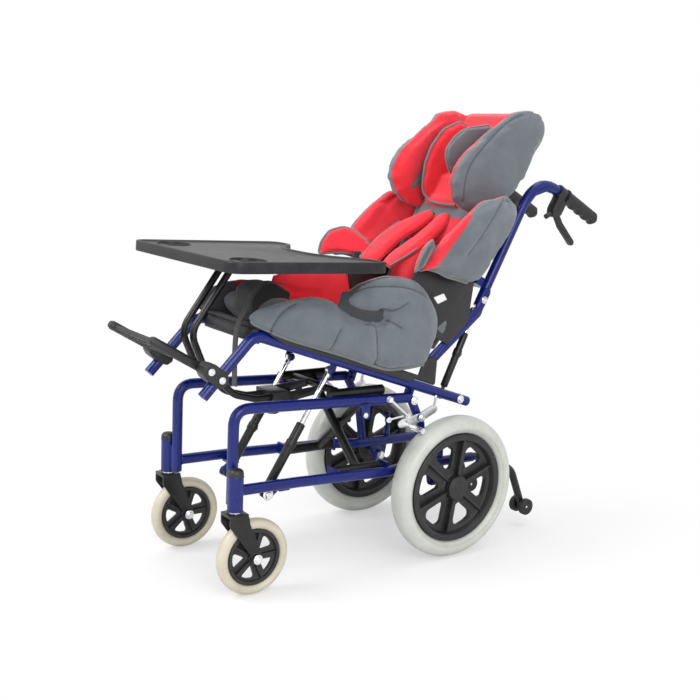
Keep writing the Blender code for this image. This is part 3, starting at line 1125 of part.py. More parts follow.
def footplate(finish, clamp_finish):
    rise = math.radians(FOOT_RISE)

    def place(a, b):
        """World (y, z): a is forward along the plate from the hinge, b above it."""
        return (FOOT_HINGE[0] - a * math.cos(rise) + b * math.sin(rise),
                FOOT_HINGE[1] + a * math.sin(rise) + b * math.cos(rise))

    body("footplate", at(0, FOOT_HINGE), "seat")
    pieces = []
    cuts = []
    clamp_in = SEAT_RAIL_X - TUBE_R - 0.005
    for side, tag in SIDES:
        tube_x = side * (clamp_in - SEAT_GAP - FOOT_TUBE_R)
        ends = (-0.004, FOOT_TUBE_L - 0.006, FOOT_TUBE_L)
        radii = [FOOT_TUBE_R, FOOT_TUBE_R, FOOT_TUBE_R - 0.003]
        pieces.append(sweep([at(tube_x, place(end, 0)) for end in ends], radii))
        cuts.append(pin(FOOT_HINGE, tube_x - FOOT_TUBE_L / 4, tube_x + FOOT_TUBE_L / 4, clear(PIN_R)))
        x0, x1 = side * clamp_in, side * (SEAT_RAIL_X + TUBE_R + 0.004)
        jaw = strap(FOOT_HINGE, FOOT_CLAMP_BOLT, FOOT_CLAMP_R, x0, x1)
        pivot_pin = pin(FOOT_HINGE, x0, side * (clamp_in - 2 * FOOT_TUBE_R), PIN_R)
        bolts = [pin(p, x1 - side * 0.001, x1 + side * 0.003, BOSS_R, BOLT_SIDES)
                 for p in (FOOT_HINGE, FOOT_CLAMP_BOLT)]
        rail_x = side * SEAT_RAIL_X
        past_end = (lerp(HANGER_TOP[0], HANGER_END[0], 1.2), lerp(HANGER_TOP[1], HANGER_END[1], 1.2))
        hanger = tube([at(rail_x, HANGER_TOP), at(rail_x, past_end)], clear(TUBE_R, TUBE_SIDES))
        node(f"footplate_clamp_{tag}", "seat", clamp_finish, [jaw, pivot_pin, *bolts], [hanger])
    half = clamp_in - SEAT_GAP - FOOT_TUBE_R
    a0, a1 = FOOT_PLATE
    slabs = [(a0, a1, -FOOT_PLATE_HALF_T, FOOT_PLATE_HALF_T)]
    for k in range(FOOT_RIBS):
        middle = lerp(a0, a1, (k + 0.5) / FOOT_RIBS)
        slabs.append((middle - FOOT_RIB_HALF, middle + FOOT_RIB_HALF, -0.007, 0.0065))
    for near, far, low, high in slabs:
        outline = [place(near, low), place(far, low), place(far, high), place(near, high)]
        pieces.append(cheek(outline, -half, half))
    node("footplate_board", "footplate", finish, pieces, cuts)


def tray_point(x, y, z):
    """World place of a point given on the tray's own level, z down from its top edge at the front."""
    slope = math.radians(TRAY_SLOPE)
    run = y - TRAY_FRONT_Y
    return Vector((x, TRAY_FRONT_Y + run * math.cos(slope) - z * math.sin(slope),
                   TRAY_FRONT_Z + run * math.sin(slope) + z * math.cos(slope)))


def tray_outline(inset):
    front, rear = TRAY_FRONT_Y + inset, TRAY_REAR_Y - inset
    wide, narrow = TRAY_FRONT_HALF - inset, TRAY_REAR_HALF - inset
    belly = BELLY_HALF + inset
    deep = TRAY_REAR_Y - BELLY_DEPTH - inset
    half = [(wide, front), (narrow, rear), (belly + 0.006, rear), (belly - 0.012, deep + 0.035),
            (belly - 0.055, deep)]
    return half + [(-x, y) for x, y in reversed(half)]


def tray_slab(inset, top, bottom, corner):
    flat = [Vector((x, y, 0)) for x, y in tray_outline(inset)]
    flat = round_corners(flat, corner, 2, closed=True)
    low = [tray_point(p.x, p.y, bottom) for p in flat]
    depth = tray_point(0, 0, top) - tray_point(0, 0, bottom)
    return prism(low, depth)


def tray(finish, tube_finish):
    body("tray", Vector((0, CLAMP_Y[0], TRAY_TUBE_Z)), "base")
    lip_base = -TRAY_LIP
    slab = tray_slab(0, 0, -TRAY_T, 0.034)
    top_pocket = tray_slab(TRAY_WALL + 0.004, 0.01, lip_base, 0.026)
    low_pocket = tray_slab(TRAY_WALL, lip_base - TRAY_FLOOR, -TRAY_T - 0.01, 0.028)
    up = tray_point(0, 0, 1) - tray_point(0, 0, 0)
    shell = fused([slab], [top_pocket, low_pocket])
    cups = []
    wells = []
    for side, _ in SIDES:
        centre = tray_point(side * CUP_X, CUP_Y, 0)
        wall = 0.004
        low = -CUP_DEPTH - wall
        outer = CUP_R + wall
        cup = [(0, low), (CUP_R, low), (outer, low + wall), (outer, -0.0035), (outer - 0.002, -0.002),
               (0, -0.002)]
        well = [(0, -CUP_DEPTH), (CUP_R - wall, -CUP_DEPTH), (CUP_R, -CUP_DEPTH + wall), (CUP_R, 0.01),
                (0, 0.01)]
        cups.append(turned(centre, up, cup, 16))
        wells.append(turned(centre, up, well, 16))
    node("tray_top", "tray", finish, [shell, *cups], wells)
    plate_z = lip_base - TRAY_FLOOR - SEAT_GAP
    half, (front, rear), thick = TRAY_PLATE_HALF, TRAY_PLATE_Y, TRAY_PLATE_T
    corners = ((-half, front), (half, front), (half, rear), (-half, rear))
    pieces = [prism([tray_point(x, y, plate_z - thick) for x, y in corners], up * thick)]
    for side, _ in SIDES:
        x = side * TRAY_TUBE_X
        top = tray_point(x, 0.024, plate_z - TRAY_TUBE_DROP)
        line = [top] + [Vector((x, y, z)) for y, z in TRAY_TUBE_LINE]
        pieces.append(tube(line, TRAY_TUBE_R, TRAY_BEND_R, ROD_SIDES))
    node("tray_tubes", "tray", tube_finish, pieces)


def centre_on_floor():
    """Moves the whole chair so that its origin is the middle of its footprint."""
    bpy.context.view_layer.update()
    low = Vector((1e9, 1e9, 1e9))
    high = -low
    for obj in bpy.data.objects:
        if obj.type != "MESH":
            continue
        for vert in obj.data.vertices:
            place = obj.matrix_world @ vert.co
            low = Vector(map(min, low, place))
            high = Vector(map(max, high, place))
    root = BODIES["base"][0]
    root.location.y -= (low.y + high.y) / 2
    print("footprint", [round(v, 4) for v in (*low, *high)], "moved", round(root.location.y, 5))


def main():
    clear_scene()
    blue = material("blue_paint", (0.030, 0.055, 0.33), 0.22)
    black = material("black_plastic", (0.018, 0.018, 0.020), 0.45)
    steel_black = material("black_steel", (0.015, 0.015, 0.016), 0.30, 0.2)
    chrome = material("chrome", (0.80, 0.80, 0.82), 0.12, 1.0)
    zinc = material("white_zinc", (0.78, 0.79, 0.80), 0.35, 0.6)
    grey = material("grey_fabric", (0.17, 0.19, 0.21), 0.90)
    red = material("red_fabric", (0.80, 0.025, 0.045), 0.85)
    tyre_grey = material("grey_tyre", (0.50, 0.53, 0.48), 0.60)
    tyre_cream = material("cream_tyre", (0.66, 0.64, 0.55), 0.55)

    body("base", Vector((0, 0, 0)))
    body("seat", at(0, PIVOT), "base")
    body("back", at(0, HINGE), "seat")
    for side, tag in SIDES:
        side_frame(side, tag, blue)
        caster_cap(side, tag, black)
        caster(side, tag, (black, black, tyre_cream))
        rear_axle(side, tag, chrome)
        rear_wheel(side, tag, black, tyre_grey)
        anti_tipper(side, tag, steel_black, black)
        brake_arm(side, tag, zinc, chrome)
        strut("tilt", tag, "base", side * TILT_X, TILT_FOOT, seat(TILT_HEAD_S, TILT_HEAD_T),
              TILT_STRUT_R, TILT_REACH, (steel_black, chrome))
        strut("recline", tag, "seat", side * RECLINE_X, seat(RECLINE_FOOT_S, RECLINE_FOOT_T),
              back(*RECLINE_HEAD), RECLINE_STRUT_R, RECLINE_REACH, (steel_black, chrome))
        seat_bolster(side, tag, grey)
        back_wing(side, tag, grey)
        hand_grip(side, tag, black)
        brake_lever(side, tag, black, black)
    brace_leg(1, "front", BRACE_LEG_Y[0], True, steel_black)
    brace_leg(-1, "rear", BRACE_LEG_Y[1], False, steel_black)
    tray_support(steel_black, black)
    seat_frame(blue)
    seat_pan(black)
    seat_cushion(red)
    back_frame(blue)
    back_shell(black)
    back_cushion(red)
    headrest(steel_black, grey)
    footplate(black, black)
    tray(black, steel_black)
    centre_on_floor()


main()
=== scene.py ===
# %% [markdown]
# # A pediatric positioning wheelchair, dressed for its picture
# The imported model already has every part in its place, so this lesson only gives the chair
# its looks. Blender can start from a blank file or from a loaded model. Loading wins here,
# because each new piece can be put where the loaded one says, with nothing to fit by eye.

# %% Load the chair
import math

import bpy
import numpy as np
from mathutils import Matrix, Vector
from mathutils.bvhtree import BVHTree


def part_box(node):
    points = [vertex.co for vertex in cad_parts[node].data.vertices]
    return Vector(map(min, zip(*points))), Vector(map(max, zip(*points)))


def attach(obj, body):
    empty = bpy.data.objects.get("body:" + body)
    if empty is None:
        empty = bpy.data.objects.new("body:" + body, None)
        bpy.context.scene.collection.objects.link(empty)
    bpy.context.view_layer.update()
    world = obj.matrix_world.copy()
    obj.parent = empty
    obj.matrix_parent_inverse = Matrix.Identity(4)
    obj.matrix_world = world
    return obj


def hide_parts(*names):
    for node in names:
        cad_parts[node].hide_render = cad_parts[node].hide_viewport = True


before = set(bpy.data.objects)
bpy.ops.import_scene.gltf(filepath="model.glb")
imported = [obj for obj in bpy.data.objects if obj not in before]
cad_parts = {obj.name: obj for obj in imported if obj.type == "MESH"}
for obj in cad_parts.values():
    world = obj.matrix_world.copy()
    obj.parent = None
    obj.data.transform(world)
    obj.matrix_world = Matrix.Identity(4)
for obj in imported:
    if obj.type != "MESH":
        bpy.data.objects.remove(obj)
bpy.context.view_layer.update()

# %% [markdown]
# Three frames of reference make the numbers short. Lengths along the chair were measured
# from the front casters' axle, and the seat and the back each have a line of their own. One
# function for each of them turns such numbers into a place in the chair's frame.

# %% Places on the chair, on the seat and on the back
Y_SHIFT = -0.37151
SEAT_PITCH = math.radians(18.5)
BACK_LEAN = math.radians(27.1)
TILT_PIVOT = (0.397, 0.349)
RECLINE_HINGE = (0.452, 0.425)
SIDES = ((1, "left"), (-1, "right"))


def at(x, y, z):
    return Vector((x, y + Y_SHIFT, z))


def on_seat(x, s, t):
    """s runs rearward and t upward from the tilt pivot, along the seat's own slope."""
    c, k = math.cos(SEAT_PITCH), math.sin(SEAT_PITCH)
    return at(x, TILT_PIVOT[0] + s * c + t * k, TILT_PIVOT[1] - s * k + t * c)


def on_back(x, u, v):
    """u runs up the back and v forward from the recline hinge."""
    c, k = math.cos(BACK_LEAN), math.sin(BACK_LEAN)
    return at(x, RECLINE_HINGE[0] + u * k - v * c, RECLINE_HINGE[1] + u * c + v * k)


def traced(place, x, outline):
    """The outline's places at one x, each given by its two other numbers."""
    return [place(x, *spot) for spot in outline]


FORWARD = on_back(0, 0, 1) - on_back(0, 0, 0)
print("seat cushion's front edge is at", [round(c, 3) for c in on_seat(0, -0.40, 0.08)])

# %% [markdown]
# A camera can be turned with angles, or built from three directions: where it looks, what
# is right and what is up. The photograph was taken a little tilted, and with directions that
# tilt is one small turn of right and up about the line of sight.

# %% Camera at the photograph's viewpoint
CAMERA_TARGET = Vector((0.0, -0.05491, 0.4404))
CAMERA_DISTANCE = 2.376
CAMERA_AZIMUTH = math.radians(54.834)
CAMERA_HEIGHT = math.radians(10.570)
CAMERA_ROLL = math.radians(2.621)
CAMERA_LENS = 56.19


def make_camera():
    a, e, r = CAMERA_AZIMUTH, CAMERA_HEIGHT, CAMERA_ROLL
    behind = Vector((math.sin(a) * math.cos(e), -math.cos(a) * math.cos(e), math.sin(e)))
    right = Vector((math.cos(a), math.sin(a), 0.0))
    up = behind.cross(right)
    across = right * math.cos(r) + up * math.sin(r)
    upward = up * math.cos(r) - right * math.sin(r)
    bpy.ops.object.camera_add()
    camera = bpy.context.object
    turn = Matrix((across, upward, behind)).transposed().to_4x4()
    camera.matrix_world = Matrix.Translation(CAMERA_TARGET + behind * CAMERA_DISTANCE) @ turn
    camera.data.sensor_width = 36.0
    camera.data.lens = CAMERA_LENS
    camera.data.dof.use_dof = False
    bpy.context.scene.camera = camera
    return camera


camera = make_camera()
bpy.context.scene.view_settings.view_transform = "Standard"
print("camera stands at", [round(c, 3) for c in camera.location])

# %% [markdown]
# Shader maths is easiest to read as sums, so a small class stands for one output of a node
# and learns to add, subtract and multiply. A second class stands for a whole finish: it holds
# the material, adds nodes to it and sets its main shader. This keeps each finish to a few
# lines that read like a recipe.

# %% A socket that does sums, and a finish that holds nodes


class Wire:
    """One number or colour that leaves a node."""

    def __init__(self, finish, socket):
        self.finish = finish
        self.socket = socket

    def sum(self, operation, first, second):
        return self.finish.add("ShaderNodeMath", {"operation": operation}, {0: first, 1: second})

    def __add__(self, other):
        return self.sum("ADD", self, other)

    def __radd__(self, other):
        return self.sum("ADD", other, self)

    def __sub__(self, other):
        return self.sum("SUBTRACT", self, other)

    def __rsub__(self, other):
        return self.sum("SUBTRACT", other, self)

    def __mul__(self, other):
        return self.sum("MULTIPLY", self, other)

    def __rmul__(self, other):
        return self.sum("MULTIPLY", other, self)

    def size(self):
        return self.sum("ABSOLUTE", self, 0.0)

    def wave(self):
        return self.sum("SINE", self, 0.0) * 0.5 + 0.5

    def at_least(self, other):
        return self.sum("MAXIMUM", self, other)

    def at_most(self, other):
        return self.sum("MINIMUM", self, other)


class Finish:
    """A material whose nodes are added by name and wired by value."""

    def __init__(self, name, **constants):
        self.material = bpy.data.materials.new(name)
        self.material.use_nodes = True
        self.tree = self.material.node_tree
        self.shader = self.tree.nodes["Principled BSDF"]
        self.place = Wire(self, self.tree.nodes.new("ShaderNodeTexCoord").outputs["Object"])
        self.set(**constants)

    def add(self, kind, settings=None, inputs=None, output=0):
        """A node of that type: settings first, then its sockets by number or name."""
        node = self.tree.nodes.new(kind)
        for name, value in (settings or {}).items():
            if name == "stops":
                self.fill_ramp(node, value)
            else:
                setattr(node, name, value)
        for name, value in (inputs or {}).items():
            self.plug(node.inputs[name], value)
        return Wire(self, node.outputs[output])

    def fill_ramp(self, node, stops):
        ramp = node.color_ramp
        while len(ramp.elements) < len(stops):
            ramp.elements.new(0.5)
        for element, (place, colour) in zip(ramp.elements, stops):
            element.position = place
            element.color = (*colour, 1.0)

    def plug(self, socket, value):
        if isinstance(value, Wire):
            self.tree.links.new(value.socket, socket)
        elif socket.type == "RGBA" and len(value) == 3:
            socket.default_value = (*value, 1.0)
        else:
            socket.default_value = value

    def set(self, **sockets):
        """Main shader sockets: Base_Color, Roughness, Metallic, Normal and so on."""
        for name, value in sockets.items():
            self.plug(self.shader.inputs[name.replace("_", " ")], value)

    def blend(self, share, first, second):
        settings = {"data_type": "RGBA", "clamp_factor": True}
        return self.add("ShaderNodeMix", settings, {0: share, 6: first, 7: second}, 2)

    def grain(self, scale, detail, rough=0.55, place=None):
        values = {"Vector": place or self.place, "Scale": scale, "Detail": detail, "Roughness": rough}
        return self.add("ShaderNodeTexNoise", None, values)

    def stretched(self, scale, turn=(0.0, 0.0, 0.0)):
        values = {"Vector": self.place, "Scale": scale, "Rotation": turn}
        return self.add("ShaderNodeMapping", None, values)

    def bump(self, height, distance, strength=1.0):
        values = {"Height": height, "Distance": distance, "Strength": strength}
        return self.add("ShaderNodeBump", None, values)


def linear(red, green, blue):
    """A screen colour from 0 to 255 as the light values that a shader mixes."""
    return tuple(((c / 255 + 0.055) / 1.055) ** 2.4 if c > 10 else c / 255 / 12.92 for c in (red, green, blue))


print("a mid grey in light values is", [round(c, 3) for c in linear(128, 128, 128)])

# %% [markdown]
# The frame is powder coated in a strong blue and then lacquered. Powder coat is never quite
# flat: it has a fine orange peel, which a little noise in the bump gives. Noise at two sizes
# also shifts the colour and the gloss slightly, as handling and dust do.

# %% Blue lacquer on the tubes
def make_blue():
    blue = Finish("blue_lacquer", Roughness=0.30, Coat_Weight=0.10, Coat_Roughness=0.06, Specular_IOR_Level=0.32)
    peel = blue.grain(900.0, 2.0)
    wear = blue.grain(14.0, 6.0, 0.65)
    shade = blue.blend(wear, linear(8, 18, 84), linear(15, 33, 118))
    scuffs = (blue.grain(60.0, 8.0, 0.8) - 0.68) * 6.0
    blue.set(Base_Color=blue.blend(scuffs, shade, linear(64, 82, 172)))
    blue.set(Roughness=0.2 + wear * 0.16, Normal=blue.bump(peel, 0.00006, 0.5))
    return blue.material


blue_lacquer = make_blue()
print("made", blue_lacquer.name)

# %% [markdown]
# Black parts on the chair are of four kinds. Moulded nylon has a fine pebbled grain and is
# paler where dust lies, satin steel is smoother and slightly metallic, the tray is a vacuum
# formed sheet, and rubber is the dullest. One function with a few numbers makes all of them,
# because only colour, grain and gloss differ.

# %% Black plastics and satin steel
def make_black(name, colour, gloss, grain_size, depth, **constants):
    black = Finish(name, **constants)
    pebble = black.add("ShaderNodeTexVoronoi", None, {"Vector": black.place, "Scale": grain_size})
    dust = black.grain(22.0, 7.0, 0.7)
    lighter = tuple(min(1.0, c * 1.9 + 0.012) for c in colour)
    black.set(Base_Color=black.blend((dust - 0.45) * 2.2, colour, lighter))
    black.set(Roughness=gloss + (dust - 0.5) * 0.22, Normal=black.bump(pebble, depth, 0.6))
    return black.material


nylon = make_black("black_nylon", linear(24, 24, 26), 0.46, 1400.0, 0.00008)
satin_steel = make_black("satin_black_steel", linear(20, 20, 22), 0.34, 2600.0, 0.00003, Metallic=0.25)
tray_sheet = make_black("tray_plastic", linear(30, 30, 32), 0.42, 1100.0, 0.00006, Specular_IOR_Level=0.28)
rubber_black = make_black("black_rubber", linear(26, 26, 27), 0.62, 700.0, 0.0001)
print("made", nylon.name, satin_steel.name, tray_sheet.name, rubber_black.name)

# %% [markdown]
# Chrome on a chair is polished, but rags leave fine lines along it, and zinc plate has a
# cloudy crystal look. Both are metals, so the colour is the colour of the reflection and
# most of the looks come from roughness. Stretched noise gives the lines.

# %% Chrome and zinc plate
def make_metal(name, colour, gloss, stretch, cloud):
    metal = Finish(name, Metallic=1.0)
    lines = metal.grain(1.0, 4.0, 0.6, metal.stretched(stretch))
    clouds = metal.grain(cloud, 5.0, 0.7)
    darker = tuple(c * 0.72 for c in colour)
    metal.set(Base_Color=metal.blend(clouds, darker, colour))
    metal.set(Roughness=gloss + lines * 0.12 + clouds * 0.1, Normal=metal.bump(lines, 0.00002, 0.4))
    return metal.material


chrome = make_metal("polished_chrome", (0.86, 0.87, 0.89), 0.06, (90.0, 900.0, 90.0), 60.0)
zinc = make_metal("zinc_plate", (0.84, 0.85, 0.86), 0.24, (160.0, 500.0, 160.0), 320.0)
print("made", chrome.name, zinc.name)

# %% [markdown]
# The covers are a dense knitted upholstery cloth. Its loops are far smaller than the mesh,
# so they are a bump pattern: two waves that cross, with a little noise on top. Sheen stands
# for the fibres that catch light at the edges. A number stored on the mesh, called facing,
# says which panel a place belongs to, so one cloth can carry both colours. A second number
# is painted shade: it darkens the seams' grooves and other shaded hollows and sides.

# %% Two-coloured cover cloth
GREY_CLOTH = linear(117, 124, 131)
GREY_SHADE = linear(94, 101, 108)
RED_CLOTH = linear(246, 40, 62)
RED_SHADE = linear(218, 24, 44)


def make_cloth(name, weave_scale, sheen):
    cloth = Finish(name, Sheen_Weight=sheen, Sheen_Roughness=0.45)
    crosswise = cloth.stretched((1.0, 1.0, 1.0), (0.4, 1.3, 1.5))
    waves = [cloth.add("ShaderNodeTexWave", {"bands_direction": "DIAGONAL"},
                       {"Vector": way, "Scale": weave_scale, "Distortion": 1.2, "Detail": 1.0})
             for way in (cloth.place, crosswise)]
    mottle = cloth.grain(26.0, 6.0, 0.65)
    loops = waves[0] * waves[1]
    red_panel = cloth.add("ShaderNodeAttribute", {"attribute_name": "facing"}, output=2)
    shade = (mottle - 0.35) * 1.6
    grey = cloth.blend(shade, GREY_SHADE, GREY_CLOTH)
    red = cloth.blend(shade, RED_SHADE, RED_CLOTH)
    # The number read here is painted shade, laid along the seams' grooves and in shaded hollows.
    crease = cloth.add("ShaderNodeAttribute", {"attribute_name": "crease"}, output=2)
    panel = cloth.blend((red_panel - 0.47) * 16.0, grey, red)
    joint = (1.0 - (red_panel - 0.5).size() * 9.0).at_least(0.0)
    # The weave's loops and the panels' joint line are dark thread; the second number adds painted shade.
    threads_and_painted_shade = cloth.blend(loops * 0.22 + (crease + joint * 0.6).at_most(1.0) * 0.75, panel, (0.012, 0.012, 0.014))
    cloth.set(Base_Color=threads_and_painted_shade, Roughness=0.72 + mottle * 0.2)
    cloth.set(Normal=cloth.bump(loops + mottle * 0.5, 0.00035, 0.7))
    return cloth.material


cover_cloth = make_cloth("cover_cloth", 420.0, 0.35)
print("made", cover_cloth.name)

# %% [markdown]
# Where two panels are sewn together, a cord wrapped in pale cloth is caught in the seam. It
# gets a tight diagonal ribbing. Harness webbing is a flat nylon belt whose ribs run across
# it. A wave texture draws both, and only its size, depth and direction change.

# %% Piping and webbing
def make_ribbed(name, dark, light, scale, depth, gloss, direction, sheen):
    cloth = Finish(name, Sheen_Weight=sheen)
    settings = {"bands_direction": direction}
    ribs = cloth.add("ShaderNodeTexWave", settings, {"Vector": cloth.place, "Scale": scale, "Distortion": 0.4})
    mottle = cloth.grain(40.0, 5.0, 0.6)
    cloth.set(Base_Color=cloth.blend(ribs * 0.5 + mottle * 0.5, dark, light))
    cloth.set(Roughness=gloss + mottle * 0.12, Normal=cloth.bump(ribs, depth, 0.8))
    return cloth.material


piping_cloth = make_ribbed("piping_cloth", linear(78, 84, 88), linear(116, 122, 127), 500.0, 0.0002, 0.7,
                           "DIAGONAL", 0.3)
webbing = make_ribbed("black_webbing", linear(14, 14, 15), linear(44, 44, 47), 330.0, 0.0003, 0.62, "Z", 0.2)
tab_cloth = make_ribbed("white_tab", linear(206, 206, 204), linear(240, 240, 238), 420.0, 0.0001, 0.6, "Z", 0.1)
print("made", piping_cloth.name, webbing.name, tab_cloth.name)

# %% [markdown]
# A bent tube could be a spun circle or an extruded ring, but a curve is quicker: it is drawn
# along the tube's middle, each corner is turned into an arc, and a round bevel gives it its
# thickness. Converting it leaves an ordinary mesh whose place is in its points.

# %% Curves become round tubes
def calm():
    """Nothing is selected and nothing is active in edit mode."""
    bpy.ops.object.select_all(action="DESELECT")


def pick(*pieces):
    calm()
    for piece in pieces:
        piece.select_set(True)
    bpy.context.view_layer.objects.active = pieces[0]
    return pieces[0]


def rounded(points, bend=0.035, steps=9):
    """The points with each inner corner replaced by an arc that is about bend from it."""
    line = [Vector(points[0])]
    for before, corner, after in zip(points, points[1:], points[2:]):
        back, onward = Vector(before) - corner, Vector(after) - corner
        turn = math.pi - back.angle(onward)
        reach = min(bend * math.tan(turn / 2), back.length * 0.49, onward.length * 0.49)
        start = corner + back.normalized() * reach
        end = corner + onward.normalized() * reach
        for i in range(steps + 1):
            f = i / steps
            line.append(start * (1 - f) ** 2 + corner * (2 * f * (1 - f)) + end * f ** 2)
    line.append(Vector(points[-1]))
    return line


def tube(points, radius, sides=5, thin=None):
    """A round bar along points. thin gives each point its share of the radius."""
    calm()
    bpy.ops.curve.primitive_bezier_curve_add()
    curve = bpy.context.object
    curve.data.splines.clear()
    line = curve.data.splines.new("POLY")
    line.points.add(len(points) - 1)
    for place, spot in zip(line.points, points):
        place.co = (*spot, 1.0)
    if thin:
        for place, share in zip(line.points, thin):
            place.radius = share
    curve.data.dimensions = "3D"
    curve.data.bevel_depth = radius
    curve.data.bevel_resolution = sides
    curve.data.use_fill_caps = True
    pick(curve)
    bpy.ops.object.convert(target="MESH")
    bpy.ops.object.transform_apply(location=True, rotation=True, scale=True)
    return bpy.context.object


def joined(pieces):
    pick(*pieces)
    bpy.ops.object.join()
    return bpy.context.object


print("an arc of", len(rounded([Vector((0, 0, 0)), Vector((1, 0, 0)), Vector((1, 1, 0))])), "points")

# %% [markdown]
# Each finished piece needs the same last steps: smooth shading where faces meet gently, a
# material, a name, and the body that carries it. One function does them, so no piece is
# left out. A piece that stands for a loaded part hides that part.

# %% The last steps of every piece
def settle(piece, name, body, finish, slot, *nodes, smooth=38):
    pick(piece)
    bpy.ops.object.transform_apply(location=True, rotation=True, scale=True)
    bpy.ops.object.shade_smooth_by_angle(angle=math.radians(smooth))
    piece.name = name
    piece.data.materials.clear()
    piece.data.materials.append(finish)
    piece.data.polygons.foreach_set("material_index", [0] * len(piece.data.polygons))
    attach(piece, body)
    if nodes:
        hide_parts(*nodes)
    return piece


print("pieces are settled by one function:", settle.__name__)

# %% [markdown]
# In Blender's window a tool in edit mode is a few keys: Tab, select all, the tool, Tab again.
# A modifier is added and applied from its menu. A script repeats these calls for piece after
# piece, so edit mode and modifiers get one small function each.

# %% Edit mode and modifiers
def edited(piece, *steps):
    """Takes the piece through edit mode, with all of it selected before each step."""
    pick(piece)
    bpy.ops.object.mode_set(mode="EDIT")
    for step in steps:
        bpy.ops.mesh.select_all(action="SELECT")
        step()
    bpy.ops.object.mode_set(mode="OBJECT")
    return piece


def shaped(piece, kind, **settings):
    """Applies one modifier of that kind to the piece."""
    pick(piece)
    modifier = piece.modifiers.new(kind.lower(), kind)
    for name, value in settings.items():
        setattr(modifier, name, value)
    bpy.ops.object.modifier_apply(modifier=modifier.name)
    return piece


print("edit mode and modifiers are one call each:", edited.__name__, "and", shaped.__name__)

# %% [markdown]
# The loaded tubes have ten flat sides, which suits a physics engine but not a camera. Their
# lugs and plates are right, so a copy of each frame part keeps those, loses the faces that
# lie along its tubes, and gets round tubes in their place.

# %% A loaded part with its tubes made round
SKIN, STRIP_SLACK = 0.0001, 0.0016


def copy_of(node):
    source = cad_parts[node]
    piece = source.copy()
    piece.data = source.data.copy()
    bpy.context.scene.collection.objects.link(piece)
    piece.parent = None
    for key in list(piece.keys()):
        del piece[key]
    return edited(piece, lambda: bpy.ops.mesh.remove_doubles(threshold=0.00002))


def spots_of(piece):
    spots = np.zeros(len(piece.data.vertices) * 3)
    piece.data.vertices.foreach_get("co", spots)
    return spots.reshape(-1, 3)


def gap_to_line(spots, line):
    """How far each spot is from the line."""
    best = np.full(len(spots), 9.0)
    for a, b in zip(line, line[1:]):
        start, run = np.array(a), np.array(b - a)
        share = np.clip((spots - start) @ run / max(run @ run, 1e-12), 0, 1)
        best = np.minimum(best, np.linalg.norm(spots - start - share[:, None] * run, axis=1))
    return best


def strip_tube(piece, line, radius):
    """Deletes the faces that lie along the tube, corners and all."""
    near = gap_to_line(spots_of(piece), line) < radius + STRIP_SLACK
    pick(piece)
    bpy.ops.object.mode_set(mode="EDIT")
    bpy.ops.mesh.select_mode(type="FACE")
    bpy.ops.mesh.select_all(action="DESELECT")
    bpy.ops.object.mode_set(mode="OBJECT")
    for face in piece.data.polygons:
        face.select = all(near[i] for i in face.vertices)
    bpy.ops.object.mode_set(mode="EDIT")
    bpy.ops.mesh.delete(type="FACE")
    bpy.ops.object.mode_set(mode="OBJECT")


def soften(piece, width, angle=40):
    """Rounds the sharp edges, as a bend in steel or a mould does."""
    return shaped(piece, "BEVEL", width=width, segments=2, limit_method="ANGLE",
                  angle_limit=math.radians(angle), harden_normals=False)


def rounder(node, tubes):
    """A copy of a loaded part whose tubes, given as (line, radius), are round."""
    piece = copy_of(node)
    for line, radius in tubes:
        strip_tube(piece, line, radius)
    return joined([piece] + [tube(line, radius + SKIN) for line, radius in tubes])


print("copies keep their lugs and plates, and their tubes become round")

# %% [markdown]
# A side frame is one tube bent into a hoop, a lower rail that runs back to the anti-tip
# socket, a rear post, and the housing that the caster's stem turns in. The lines are the
# same as the loaded part's, so the round tubes sit where the flat-sided ones were.

# %% Side frames
POST_Y, POST_FOOT, RAIL_FRONT_Z, RAIL_END = -0.034, 0.182, 0.3703, (0.394, 0.3534)
LOWER_RAIL = ((-0.0285, 0.206), (0.117, 0.204), (0.345, 0.1957))
LOWER_TAIL = ((0.415, 0.1935), (0.600, 0.190))
FRAME_X, TAIL_X, HOUSING_X, STEM_Y = 0.121, 0.100, 0.148, -0.041
REAR_POST = ((0.121, 0.397, 0.349), (0.118, 0.430, 0.290), (0.102, 0.436, 0.194))
HOUSING_FOOT, HOUSING_TOP = 0.177, 0.2455
TUBE_R, REAR_POST_R, HOUSING_R = 0.011, 0.0095, 0.0155


def side_tubes(side):
    x = side * FRAME_X
    hoop = [at(x, POST_Y, POST_FOOT), at(x, POST_Y, RAIL_FRONT_Z), at(x, *RAIL_END)]
    lower = traced(at, x, LOWER_RAIL) + traced(at, side * TAIL_X, LOWER_TAIL)
    post = [at(side * px, y, z) for px, y, z in REAR_POST]
    housing = [at(side * HOUSING_X, STEM_Y, z) for z in (HOUSING_FOOT, HOUSING_TOP)]
    return [(rounded(hoop), TUBE_R), (rounded(lower, 0.060), TUBE_R), (rounded(post, 0.030), REAR_POST_R),
            (housing, HOUSING_R)]


def ring_bead(centre, along, radius, bead):
    """A small weld bead round a tube."""
    calm()
    bpy.ops.mesh.primitive_torus_add(major_radius=radius, minor_radius=bead, major_segments=28, minor_segments=8)
    ring = bpy.context.object
    ring.matrix_world = Matrix.Translation(centre) @ Vector(along).to_track_quat("Z", "Y").to_matrix().to_4x4()
    pick(ring)
    bpy.ops.object.transform_apply(location=True, rotation=True, scale=True)
    return ring


for side, tag in SIDES:
    piece = rounder(f"side_frame_{tag}", side_tubes(side))
    beads = [ring_bead(at(side * FRAME_X, POST_Y + 0.009, 0.206), (0, 1, 0), 0.0112, 0.0014),
             ring_bead(at(side * HOUSING_X, STEM_Y, HOUSING_TOP), (0, 0, 1), 0.0150, 0.0012),
             ring_bead(at(side * HOUSING_X, STEM_Y, 0.1775), (0, 0, 1), 0.0150, 0.0012)]
    settle(joined([piece] + beads), f"dressed_side_frame_{tag}", "base", blue_lacquer, "blue_paint",
           f"side_frame_{tag}")
    print("side frame", tag, "has", len(piece.data.polygons), "faces")

